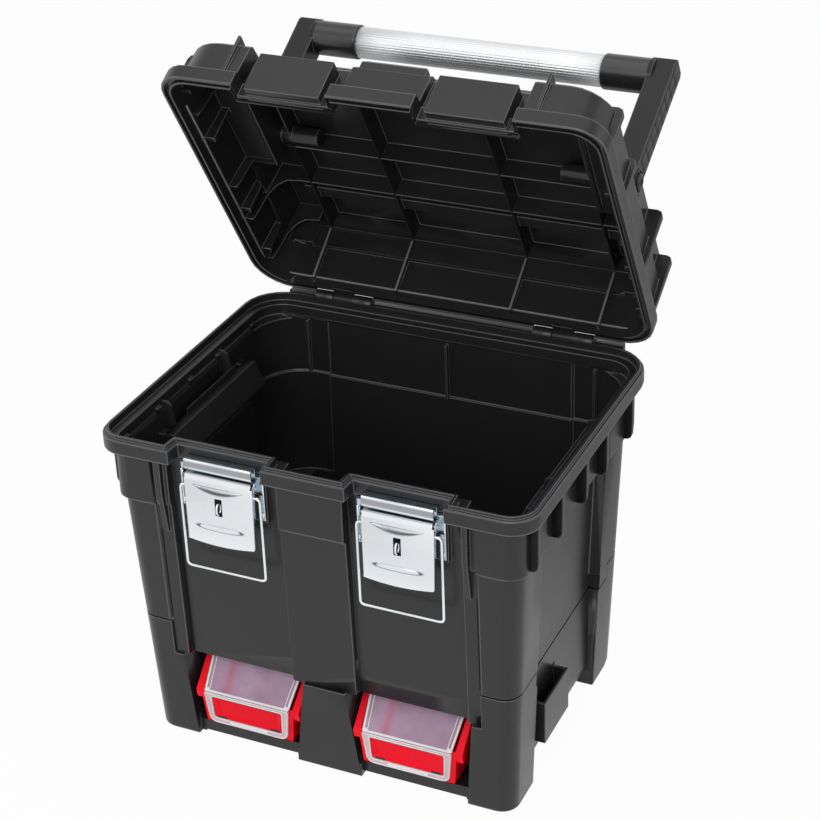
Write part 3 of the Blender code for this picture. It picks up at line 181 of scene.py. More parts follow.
def new_group(name: str, numbers: dict, outputs: Sequence[str]) -> tuple:
    """Start a shader node group whose first input is a vector.

    Args:
        name: name of the group.
        numbers: default of each number input by its name.
        outputs: names of the number outputs.

    Returns:
        The wiring of its tree, its input sockets and its output node.
    """
    tree = bpy.data.node_groups.new(name, "ShaderNodeTree")
    tree.interface.new_socket("Vector", in_out="INPUT", socket_type="NodeSocketVector")
    for label, default in numbers.items():
        tree.interface.new_socket(label, in_out="INPUT", socket_type="NodeSocketFloat").default_value = default
    for label in outputs:
        tree.interface.new_socket(label, in_out="OUTPUT", socket_type="NodeSocketFloat")
    return Wiring(tree), tree.nodes.new("NodeGroupInput").outputs, tree.nodes.new("NodeGroupOutput")


def grain_group() -> Tree:
    """Spark-eroded mould grain: a fine pebble height, a slow tone and wiped patches."""
    wire, given, out = new_group("mould_grain", {"Grain": 1800.0, "Flow": 9.0}, ("Height", "Tone", "Wiped"))
    vector, grain, flow = (given[label] for label in ("Vector", "Grain", "Flow"))
    fine = wire.noise(vector, grain, 3.0, 0.6)
    coarse = wire.noise(vector, wire.maths("MULTIPLY", grain, 0.31), 2.0)
    wiped = wire.noise(vector, wire.maths("MULTIPLY", flow, 2.3), 5.0, 0.62)
    wire.feed(out, {
        "Height": wire.maths("ADD", wire.maths("MULTIPLY", fine, 0.6), wire.maths("MULTIPLY", coarse, 0.4)),
        "Tone": wire.noise(vector, flow, 4.0, 0.55),
        "Wiped": wire.ramp(wiped, 0.42, 0.66),
    })
    return wire.tree


def drawn_group() -> Tree:
    """Drawn metal: a noise that the vector stretches along one direction, and soft clouding of the plate."""
    wire, given, out = new_group("drawn_metal", {}, ("Height", "Tone", "Cloud"))
    lines = wire.noise(given["Vector"], 1.0, 3.0, 0.65)
    cloud = wire.noise(given["Vector"], 0.021, 3.0)
    wire.feed(out, {"Height": lines, "Tone": wire.ramp(lines, 0.3, 0.7), "Cloud": wire.ramp(cloud, 0.35, 0.65)})
    return wire.tree


GRAIN = grain_group()
DRAWN = drawn_group()


def blank_material(name: str) -> tuple:
    """Start a node material.

    Args:
        name: the material's name.

    Returns:
        The material, the wiring of its tree and its Principled shader.
    """
    made = bpy.data.materials.new(name)
    made.use_nodes = True
    return made, Wiring(made.node_tree), made.node_tree.nodes["Principled BSDF"]


@dataclass(frozen=True)
class Plastic:
    """A moulded plastic finish.

    Attributes give the colour as it looks, the paler colour of its rounded edges (partly worn plastic, partly a
    painted highlight line), roughness, grain in cells per metre, depth of the grain in mm, shine, slot, the tones
    between which the colour wanders, what wiping adds to the roughness at least and at most, and strength of the
    grain.
    """

    name: str
    colour: tuple
    edge_wear_and_highlight: tuple
    roughness: float
    grain: float = 1800.0
    depth: float = 0.05
    specular: float = 0.5
    slot: Slot = Slot.BLACK
    tones: tuple = (0.82, 1.18)
    wiping: tuple = (0.01, -0.015)
    bumps: float = 0.35

    @lru_cache(maxsize=None)
    def material(self) -> Material:
        """Build the node material once and give it back."""
        made, wire, shader = blank_material(self.name)
        inputs = {"Vector": wire.place(), "Grain": self.grain}
        grain = wire.node("ShaderNodeGroup", inputs, node_tree=GRAIN).outputs
        dark, light = ([c * tone for c in self.colour] for tone in self.tones)
        wire.feed(shader, {
            "Base Color": wire.mix(grain["Tone"], dark, light),
            "Roughness": wire.ramp(grain["Wiped"], 0.0, 1.0, *(self.roughness + more for more in self.wiping)),
            "Normal": wire.bump(grain["Height"], self.bumps, self.depth),
            "Specular IOR Level": self.specular,
        })
        return made

    def edge(self) -> Material:
        """Build the finish of this plastic's rounded edges, smoother and paler (partly worn, partly a painted
        highlight line), and give it back.
        """
        edge_wear_and_highlight = replace(
            self, name=self.name + "_edges", colour=self.edge_wear_and_highlight, roughness=max(0.12, self.roughness - 0.08),
            specular=self.specular * 1.25)
        return edge_wear_and_highlight.material()


@dataclass(frozen=True)
class Metal:
    """A plated or drawn metal finish.

    Attributes give the colour and its darker clouds, roughness, the stretch of the drawing marks along
    X, Y and Z, their depth in mm, slot, the colour of painted shade and dark reflections, how much of it
    covers the metal where it is painted, what the marks add to the roughness at least and at most, and
    their strength.
    """

    name: str
    colour: tuple
    dark: tuple
    roughness: float
    lines: tuple = (60.0, 900.0, 900.0)
    depth: float = 0.02
    slot: Slot = Slot.ZINC
    # crease: colour of painted shade and dark reflections, mixed in where the crease attribute is painted
    crease: tuple = (0.05, 0.065, 0.08)
    painted_shade_cover: float = 0.9
    marking: tuple = (-0.04, 0.06)
    bumps: float = 0.25

    @lru_cache(maxsize=None)
    def material(self) -> Material:
        """Build the node material once and give it back."""
        made, wire, shader = blank_material(self.name)
        stretched = wire.node("ShaderNodeMapping", {"Vector": wire.place(), "Scale": self.lines})
        drawn = wire.node("ShaderNodeGroup", {"Vector": stretched.outputs[0]}, node_tree=DRAWN).outputs
        # the crease attribute holds painted shade and dark reflections, from 0 to 1
        painted_shade_share = wire.maths("MULTIPLY", wire.painted("crease"), self.painted_shade_cover)
        wire.feed(shader, {
            "Base Color": wire.mix(painted_shade_share, wire.mix(drawn["Cloud"], self.colour, self.dark), self.crease),
            "Roughness": wire.ramp(drawn["Tone"], 0.0, 1.0, *(self.roughness + more for more in self.marking)),
            "Normal": wire.bump(drawn["Height"], self.bumps, self.depth),
            "Metallic": 1.0,
        })
        return made


@dataclass(frozen=True)
class Milky:
    """A thin clear moulding that scatters some light.

    Attributes give the tint, how much it covers and how far that wanders, roughness, slot, cells of the
    wandering per metre, the tones between which the tint wanders, the colour of a streak, how much of it
    covers the tint, and what wiping adds to the roughness.
    """

    name: str
    colour: tuple
    cover: float
    spread: float
    roughness: float
    slot: Slot = Slot.CLEAR
    flow: float = 26.0
    tones: tuple = (0.93, 1.06)
    streak: tuple = (0.80, 0.12, 0.22)
    streak_cover: float = 0.5
    wiping: float = 0.08

    @lru_cache(maxsize=None)
    def material(self) -> Material:
        """Build the node material once and give it back."""
        made, wire, shader = blank_material(self.name)
        inputs = {"Vector": wire.place(), "Flow": self.flow}
        grain = wire.node("ShaderNodeGroup", inputs, node_tree=GRAIN).outputs
        dark, light = ([min(1.0, c * tone) for c in self.colour] for tone in self.tones)
        streaked = wire.maths("MULTIPLY", wire.painted("streak"), self.streak_cover)
        least, most = self.cover - self.spread, self.cover + self.spread
        wire.feed(shader, {
            "Base Color": wire.mix(streaked, wire.mix(grain["Tone"], dark, light), self.streak),
            "Alpha": wire.ramp(grain["Tone"], 0.3, 0.7, least, most),
            "Roughness": wire.ramp(grain["Wiped"], 0.0, 1.0, self.roughness, self.roughness + self.wiping),
        })
        return made


Finish = Union[Plastic, Metal, Milky]
# Each plastic's second colour is for its rounded edges: partly worn plastic, partly a painted highlight line.
BLACK = Plastic("black_moulding", (0.018, 0.018, 0.0195), (0.085, 0.085, 0.089), 0.29, specular=0.40)
LID_BLACK = Plastic("lid_moulding", (0.018, 0.018, 0.0195), (0.095, 0.095, 0.099), 0.29, specular=0.40)
# pale grey for beads whose colour paints highlight lines on the lid's rim and ribs
BEAD_HIGHLIGHT = Plastic("bead_painted_highlight", (0.18, 0.18, 0.187), (0.2, 0.2, 0.207), 0.22)
HANDLE_BLACK = Plastic("handle_moulding", (0.012, 0.012, 0.0135), (0.06, 0.06, 0.063), 0.31, specular=0.33)
SOCKET_BLACK = Plastic("socket_moulding", (0.022, 0.022, 0.0236), (0.06, 0.06, 0.063), 0.25, specular=0.72)
# black of the bolt heads and hinge pins, and of patches and strips that paint shade
BLACK_BOLTS_AND_SHADE = Plastic("bolt_black", (0.012, 0.012, 0.013), (0.07, 0.07, 0.075), 0.33)
# darker black that paints the shade on faces that lie in shadow
SHADE_BLACK = Plastic("shaded_moulding", (0.006, 0.006, 0.0068), (0.05, 0.05, 0.053), 0.36, specular=0.16)
RED = Plastic("red_moulding", (0.97, 0.006, 0.022), (0.97, 0.03, 0.045), 0.36, 2400.0, 0.02, 0.12, Slot.RED)
ZINC = Metal("bright_zinc", (0.86, 0.885, 0.90), (0.76, 0.79, 0.82), 0.22)
# darker than the lever's zinc: partly the plate's own bluer plating, partly painted shade for the plate behind
# the lever
PLATE_ZINC = Metal("plate_zinc", (0.52, 0.61, 0.66), (0.42, 0.51, 0.56), 0.24)
ALUMINIUM = Metal("drawn_aluminium", (0.86, 0.86, 0.87), (0.82, 0.83, 0.84), 0.50, (12.0, 1500.0, 1500.0),
                  slot=Slot.ALUMINIUM)
WINDOW = Milky("clear_window", (0.66, 0.46, 0.64), 0.50, 0.12, 0.14)
RING = Milky("clear_ring", (0.93, 0.82, 0.88), 0.58, 0.06, 0.20)
WHITE_EDGE = Milky("clear_edges", (0.96, 0.94, 0.96), 0.88, 0.05, 0.20)


# Mesh helpers


def linked(name: str, data: bpy.types.ID) -> Piece:
    """Put a mesh, lamp or camera into the scene as an object at the origin, and give the object back."""
    made = bpy.data.objects.new(name, data)
    bpy.context.scene.collection.objects.link(made)
    return made


def mesh_object(name: str, verts: Array, faces: Array) -> Piece:
    """Put arrays of points and faces into a linked object.

    Args:
        name: piece name.
        verts: (n, 3) points of the drawing, in mm.
        faces: (m, 4) point numbers.

    Returns:
        The object, at the origin.
    """
    mesh = bpy.data.meshes.new(name)
    mesh.from_pydata(((verts - SHIFT) * MM).tolist(), [], faces.tolist())
    mesh.update()
    return linked(name, mesh)


def grid_faces(rows: int, cols: int, wrap_rows: bool = False, wrap_cols: bool = False) -> Array:
    """Quads of a grid of rows by cols points, numbered row by row, joined round where asked."""
    r = np.arange(rows if wrap_rows else rows - 1)
    c = np.arange(cols if wrap_cols else cols - 1)
    r, c = np.meshgrid(r, c, indexing="ij")
    r2, c2 = (r + 1) % rows, (c + 1) % cols
    return np.stack([r * cols + c, r * cols + c2, r2 * cols + c2, r2 * cols + c], -1).reshape(-1, 4)


def cleaned(made: Piece) -> Piece:
    """Merge doubles, turn all faces outwards and shade the mesh smooth; gives the object back."""
    work = bmesh.new()
    work.from_mesh(made.data)
    bmesh.ops.remove_doubles(work, verts=work.verts, dist=1e-6)
    bmesh.ops.recalc_face_normals(work, faces=work.faces)
    for face in work.faces:
        face.smooth = True
    work.to_mesh(made.data)
    work.free()
    return made


def grid_object(name: str, points: Array, wrap_rows: bool = False, wrap_cols: bool = False,
                keep: Optional[Array] = None) -> Piece:
    """Make a surface from a (rows, cols, 3) array of points.

    Args:
        name: piece name.
        points: the grid, in mm.
        wrap_rows: join the last row to the first.
        wrap_cols: join the last column to the first.
        keep: mask over the quads; the others are left out as holes.

    Returns:
        The object, merged and shaded smooth.
    """
    faces = grid_faces(*points.shape[:2], wrap_rows, wrap_cols)
    return cleaned(mesh_object(name, points.reshape(-1, 3), faces if keep is None else faces[keep]))


def read(items: bpy.types.bpy_prop_collection, name: str, width: int = 1, kind: type = np.float64) -> Array:
    """One property of every item of a mesh, as an array of width columns, or flat if width is 1."""
    values = np.empty(len(items) * width, kind)
    items.foreach_get(name, values)
    return values.reshape(-1, width) if width > 1 else values


def places(made: Piece) -> Array:
    """Points of a piece in the drawing, in mm."""
    return read(made.data.vertices, "co", 3) / MM + SHIFT


def paint(made: Piece, name: str, value: Array) -> None:
    """Store a number from 0 to 1 at each point of a piece, for its material to read.

    Args:
        made: the piece.
        name: attribute name.
        value: the numbers, cut to 0 and 1.
    """
    mark = made.data.attributes.new(name, "FLOAT", "POINT")
    mark.data.foreach_set("value", np.clip(value, 0.0, 1.0).astype(np.float32))


def thickened(made: Piece, name: str, thickness: float, offset: float) -> Piece:
    """Give a surface a thickness in mm, to the side that the offset names; gives the object back."""
    thick = made.modifiers.new(name, "SOLIDIFY")
    thick.thickness = thickness * MM
    thick.offset = offset
    return made


def unit(value: Array) -> Array:
    """The value held between 0 and 1."""
    return np.clip(value, 0.0, 1.0)


def step(value: Array, soft: float) -> Array:
    """Smooth step from 0 to 1 over the given width, centred where the value is zero."""
    t = unit(value / soft + 0.5)
    return t * t * (3.0 - 2.0 * t)


def bell(value: Array, middle: float, width: float) -> Array:
    """Bell curve: 1 at the middle and 1/e at the width from it."""
    return np.exp(-((value - middle) / width) ** 2)


def circle(count: int) -> Array:
    """Angles of count points round a circle."""
    return np.linspace(0.0, 2 * np.pi, count, endpoint=False)


def lathe(x: Array, radius: Array, turn: Array, y: float, z: float, way: float = 1.0) -> Array:
    """Turn a profile about a line along X.

    At angle t a point with radius r lies r cos t from the line along Y, times way, and r sin t along Z.

    Args:
        x: (rows,) places along the line, in mm.
        radius: (rows, 1) or (rows, cols) distances from the line, in mm.
        turn: (cols,) angles.
        y: the line's Y.
        z: the line's Z.
        way: 1 or -1, the way round.

    Returns:
        (rows, cols, 3) points, closed round the columns.
    """
    return np.stack(np.broadcast_arrays(
        x[:, None], y + way * radius * np.cos(turn), z + radius * np.sin(turn)), -1)


def carried(path: Array, ends: Sequence[tuple], y: float) -> Array:
    """Carry an outline in x and z along Y.

    Args:
        path: (n, 3) closed outline at Y 0, in mm.
        ends: Y and share of each copy, which is drawn together to that share about its middle.
        y: what is added to every Y.

    Returns:
        (rows, n, 3) points, closed round the columns.
    """
    middle = path.mean(0)
    return np.array([
        middle + (path - middle) * share + np.array([0.0, y + there, 0.0]) for there, share in ends])


def capped(points: Array) -> Array:
    """Close a (rows, cols, 3) tube of points by drawing a row at each end together to its middle."""
    ends = [np.broadcast_to(points[i].mean(0), points[i].shape)[None] for i in (0, -1)]
    return np.concatenate([ends[0], points, ends[1]])


def shells_object(name: str, grids: Sequence[Array]) -> Piece:
    """Cap several tubes of points and put them into one mesh.

    Args:
        name: piece name.
        grids: (rows, cols, 3) arrays in mm, each closed round its columns.

    Returns:
        The object, merged and shaded smooth.
    """
    tubes = [capped(g) for g in grids]
    counts = np.cumsum([0] + [t.shape[0] * t.shape[1] for t in tubes])
    faces = [grid_faces(*t.shape[:2], wrap_cols=True) + start for t, start in zip(tubes, counts)]
    points = np.concatenate([t.reshape(-1, 3) for t in tubes])
    return cleaned(mesh_object(name, points, np.concatenate(faces)))


def strip(start: Sequence[float], end: Sequence[float], up: Sequence[float], width: float, rise: float) -> Array:
    """A low rounded bar from start to end, as a tube of points.

    Its section is a flat-topped half oval: width across, rise along up, and sunk by a third of rise.

    Args:
        start: middle of its foot at one end, in mm.
        end: middle of its foot at the other end.
        up: unit direction in which it stands.
        width: width of the foot in mm.
        rise: height over the foot in mm.

    Returns:
        (rows, cols, 3) points.
    """
    a, b, tall = (np.asarray(v, float) for v in (start, end, up))
    along = (b - a) / np.linalg.norm(b - a)
    across = np.cross(along, tall)
    turn = circle(16)
    side = np.sign(np.cos(turn)) * np.abs(np.cos(turn)) ** 0.6 * width / 2
    lift = np.where(np.sin(turn) > 0, rise, rise / 3) * np.sign(np.sin(turn)) * np.abs(np.sin(turn)) ** 0.6
    ring = side[:, None] * across + lift[:, None] * tall
    rows = np.array([0.0, 0.4, 1.0])
    inset = np.concatenate([rows, np.linalg.norm(b - a) - rows[::-1]])
    scale = np.array([0.6, 0.92, 1.0, 1.0, 0.92, 0.6])
    return a + along * inset[:, None, None] + ring[None] * scale[:, None, None]


def framed(outer: Array, inner: Array, section: Sequence[tuple], lift: Callable[[Array, Array], Array]) -> Array:
    """A frame between two loops with the same number of points.

    Each point of the section gives a share of the way from the outer to the inner loop, and a depth that
    the lift function turns into the Y of the point at that height.

    Args:
        outer: (n, 2) loop of x and z in mm.
        inner: (n, 2) loop of x and z in mm.
        section: closed ring of (share, depth).
        lift: Y for arrays of z and depth.

    Returns:
        (n, len(section), 3) points, closed both ways.
    """
    share, depth = np.array(section, float).T
    flat = outer[:, None, :] * (1.0 - share)[None, :, None] + inner[:, None, :] * share[None, :, None]
    y = lift(flat[..., 1], np.broadcast_to(depth, flat.shape[:2]))
    return np.stack([flat[..., 0], y, flat[..., 1]], -1)


def rounded_path(corners: Sequence[Sequence[float]], radius: Union[float, Sequence[float]], steps: int,
                 closed: bool = False) -> Array:
    """Polyline whose corners are replaced by arcs.

    Each corner is cut back by radius on both legs and bridged by a quadratic curve that touches both.

    Args:
        corners: points in mm.
        radius: cut back on each leg, in mm, for all corners or for each one.
        steps: points per corner.
        closed: treat the last point as joined to the first.

    Returns:
        (n, 3) points.
    """
    pts = np.asarray(corners, float)
    cut = np.broadcast_to(np.asarray(radius, float), (len(pts),))
    t = np.linspace(0.0, 1.0, steps)[:, None]

    def leg(i: int, other: int) -> Array:
        """From corner i towards another corner, as long as the cut."""
        away = pts[other % len(pts)] - pts[i]
        return away / np.linalg.norm(away) * cut[i]

    inner = range(len(pts)) if closed else range(1, len(pts) - 1)
    parts = [pts[i] + leg(i, i - 1) * (1 - t) ** 2 + leg(i, i + 1) * t ** 2 for i in inner]
    return np.concatenate(parts if closed else [pts[:1], *parts, pts[-1:]])


def flat_tube(name: str, path: Array, normal: Sequence[float], radius: float, closed: bool = False) -> Piece:
    """Round wire along a path that lies in a plane.

    A circle of the given radius stands square to the path: its axes are the plane's normal and the
    cross product of the tangent with it.

    Args:
        name: piece name.
        path: (n, 3) points in mm.
        normal: the plane's normal.
        radius: wire radius in mm.
        closed: join the path's ends; otherwise they are capped with a small dome.

    Returns:
        The object.
    """
    side = np.asarray(normal, float)
    tangent = np.roll(path, -1, 0) - np.roll(path, 1, 0) if closed else np.gradient(path, axis=0)
    tangent /= np.linalg.norm(tangent, axis=1)[:, None]
    across = np.cross(tangent, side)
    turn = circle(14)
    scale = np.ones(len(path))
    if not closed:
        ends = [path[0] - tangent[0] * radius * 0.55, path[-1] + tangent[-1] * radius * 0.55]
        path = np.vstack([ends[0], ends[0] * 0.5 + path[0] * 0.5, path, path[-1] * 0.5 + ends[1] * 0.5, ends[1]])
        across = np.vstack([across[:1], across[:1], across, across[-1:], across[-1:]])
        scale = np.concatenate([[0.02, 0.82], scale, [0.82, 0.02]])
    ring = np.cos(turn)[None, :, None] * across[:, None, :] + np.sin(turn)[None, :, None] * side
    points = path[:, None, :] + ring * radius * scale[:, None, None]
    return grid_object(name, points, wrap_rows=closed, wrap_cols=True)


def opened(points: Array) -> Array:
    """Turn points of the closed lid about the hinge line to the lid's open rest.

    With u the distance in front of the hinge and w the height over it, the new place is the hinge plus
    u along (-cos, sin) plus w along (sin, cos) of the opening angle.
    """
    u, w = HINGE[0] - points[..., 1], points[..., 2] - HINGE[1]
    y = HINGE[0] - math.cos(LID_OPEN) * u + math.sin(LID_OPEN) * w
    z = HINGE[1] + math.sin(LID_OPEN) * u + math.cos(LID_OPEN) * w
    return np.stack([points[..., 0], y, z], -1)


def dress(made: Piece, finish: Finish, body: str, *nodes: str, edged: bool = False) -> None:
    """Give a piece its finish and body, and hide the CAD nodes that it stands for.

    Args:
        made: the piece.
        finish: its finish.
        body: body that it rides on.
        nodes: CAD nodes that it replaces, if any.
        edged: its rounded edges take the finish's edge material.
    """
    made.data.materials.clear()
    made.data.materials.append(finish.material())
    made.data.materials.append(finish.edge() if edged else finish.material())
    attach(made, body)
    if nodes:
        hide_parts(*nodes)
    LOG.info("piece %s rides on %s", made.name, body)


# Rounded copies of CAD nodes


def face_room(face: bmesh.types.BMFace, turned: Array) -> Array:
    """How far each edge of a flat face can be rounded before it meets another part of the outline.

    Edges that follow each other with little turn are one run. An edge's room is the least distance from
    it to a corner outside its run, or from its ends to an edge outside its run that is rounded too or
    doesn't touch it.

    Args:
        face: the face.
        turned: which of its edges are to be rounded.

    Returns:
        Room of each edge, in metres, in the order of the face's loops.
    """
    start = np.array([loop.vert.co for loop in face.loops])
    along = np.roll(start, -1, 0) - start
    length = np.maximum(np.linalg.norm(along, axis=1), 1e-9)
    unit_along = along / length[:, None]
    straight = (np.roll(unit_along, 1, 0) * unit_along).sum(1) > math.cos(RUN_TURN)
    run = np.cumsum(~straight)
    run = np.where(straight[0] & (run == run[0]), run[-1], run)
    same = run[:, None] == run[None, :]
    apart = start[:, None, :] - start[None, :, :]
    share = unit((apart * unit_along[None]).sum(-1) / length[None])
    gap = np.linalg.norm(apart - share[..., None] * along[None], axis=-1)
    from_corners = np.where(same | np.roll(same, 1, 0), np.inf, gap).min(0)
    own = np.eye(len(start), dtype=bool)
    free = np.where(own | np.roll(own, 1, 0), np.inf, gap)
    ends = np.minimum(free, np.roll(free, -1, 0))
    beside = np.roll(own, 1, 0) | np.roll(own, -1, 0)
    ends = np.where(same | (beside & ~turned[None, :]), np.inf, ends).min(1)
    return np.minimum(from_corners, ends)


def folds(made: Piece) -> Array:
    """Points, in metres, of the triangles of a rounded piece that have folded over their own face."""
    solid = made.evaluated_get(bpy.context.evaluated_depsgraph_get())
    shape = solid.to_mesh()
    shape.calc_loop_triangles()
    normal = read(shape.loop_triangles, "normal", 3)
    owner = read(shape.loop_triangles, "polygon_index", 1, np.int32)
    corner = read(shape.loop_triangles, "vertices", 3, np.int32)
    flat, spot = read(shape.polygons, "normal", 3), read(shape.vertices, "co", 3)
    solid.to_mesh_clear()
    folded = (normal * flat[owner]).sum(1) < FOLD_COSINE
    LOG.info("%s: %d folded triangles", made.name, folded.sum())
    return spot[np.unique(corner[folded])]


def calm(made: Piece, reach: float, passes: int = 5) -> None:
    """Ease the rounding of edges near places where a rounded face has folded over itself.

    Args:
        made: a piece with edge weights for its rounding.
        reach: distance in mm within which edges of a folded place are eased.
        passes: most rounds of easing.
    """
    shares = made.data.attributes["bevel_weight_edge"].data
    weight = read(shares, "value", 1, np.float32)
    ends = read(made.data.edges, "vertices", 2, np.int32)
    place = read(made.data.vertices, "co", 3)
    first, second = place[ends[:, 0]], place[ends[:, 1]]
    along = second - first
    square = np.maximum((along ** 2).sum(1), 1e-12)
    for _ in range(passes):
        points = folds(made)
        if not len(points):
            return
        away = points[:, None, :] - first[None]
        share = unit((away * along[None]).sum(-1) / square[None])
        near = np.linalg.norm(away - share[..., None] * along[None], axis=-1).min(0) < reach * MM
        weight[near] *= EASE
        weight[weight * made.modifiers["rounded_edges"].width < LEAST_ROUND * MM] = 0.0
        shares.foreach_set("value", weight)
        made.data.update()


def rejoin(work: bmesh.types.BMesh) -> None:
    """Join the triangles of flat faces."""
    bmesh.ops.dissolve_limit(work, angle_limit=FLAT_TURN, verts=work.verts, edges=work.edges)


def weld_back(work: bmesh.types.BMesh, stray: Callable[[Array], Array], passes: int = 3) -> None:
    """Weld stray points to their nearest sound neighbours, until none is left.

    Args:
        work: merged mesh.
        stray: which of an array of points in mm are stray.
        passes: most rounds of welding.
    """
    for _ in range(passes):
        verts = list(work.verts)
        place = np.array([v.co for v in verts]) / MM + SHIFT
        marked = {verts[i] for i in np.flatnonzero(stray(place))}
        target = {}
        for vert in marked:
            sound = [e.other_vert(vert) for e in vert.link_edges if e.other_vert(vert) not in marked]
            if sound:
                target[vert] = min(sound, key=lambda other: (other.co - vert.co).length)
        LOG.info("welding %d of %d stray points", len(target), len(marked))
        if not target:
            return
        bmesh.ops.weld_verts(work, targetmap=target)


def rounded_copy(node: str, name: str, width: float, soft: Optional[Callable[[Array], float]] = None,
                 stray: Optional[Callable[[Array], Array]] = None) -> Piece:
    """Copy a CAD node, merge it, rejoin its flat faces and round its edges, as a moulding's edges are.

    Each edge's rounding is the full width, or less than half of the room that its two faces leave it.
    The rounded strips take the second material.

    Args:
        node: CAD node.
        name: piece name.
        width: edge rounding in mm.
        soft: another rounding in mm for an edge by its middle in mm, where it isn't zero.
        stray: which points are stray and are welded back.

    Returns:
        The copy, with weighted normals so that flat faces stay flat.
    """
    made = linked(name, NODES[node].data.copy())
    work = bmesh.new()
    work.from_mesh(made.data)
    bmesh.ops.remove_doubles(work, verts=work.verts, dist=MERGE)
    bmesh.ops.dissolve_degenerate(work, edges=work.edges, dist=MERGE)
    rejoin(work)
    if stray:
        weld_back(work, stray)
        rejoin(work)
    share = work.edges.layers.float.new("bevel_weight_edge")
    work.edges.index_update()
    turned = np.array([len(e.link_faces) == 2 and e.calc_face_angle(0.0) >= ROUND_TURN for e in work.edges])
    room = np.full(len(work.edges), np.inf)
    for face in work.faces:
        index = np.array([loop.edge.index for loop in face.loops])
        np.minimum.at(room, index, face_room(face, turned[index]))
        face.smooth = True
        face.material_index = 0
    widest = max(width, MOST_ROUND) if soft else width
    for edge in work.edges:
        if not turned[edge.index]:
            continue
        middle = np.array((edge.verts[0].co + edge.verts[1].co) / 2) / MM + SHIFT
        wanted = (soft(middle) if soft else 0.0) or width
        given = min(wanted, ROOM_SHARE * room[edge.index] / MM)
        edge[share] = given / widest if given > LEAST_ROUND else 0.0
    work.to_mesh(made.data)
    work.free()
    rounding = made.modifiers.new("rounded_edges", "BEVEL")
    rounding.limit_method = "WEIGHT"
    rounding.offset_type = "OFFSET"
    rounding.width = widest * MM
    rounding.segments = ROUND_FACES
    rounding.use_clamp_overlap = False
    rounding.material = 1
    calm(made, 2.0 * width)
    given = read(made.data.attributes["bevel_weight_edge"].data, "value", 1, np.float32)
    made.data.edges.foreach_set("use_edge_sharp", turned & (given == 0.0))
    weighted = made.modifiers.new("flat_faces", "WEIGHTED_NORMAL")
    weighted.mode = "FACE_AREA"
    weighted.weight = FLAT_WEIGHT
    weighted.keep_sharp = True
    return made


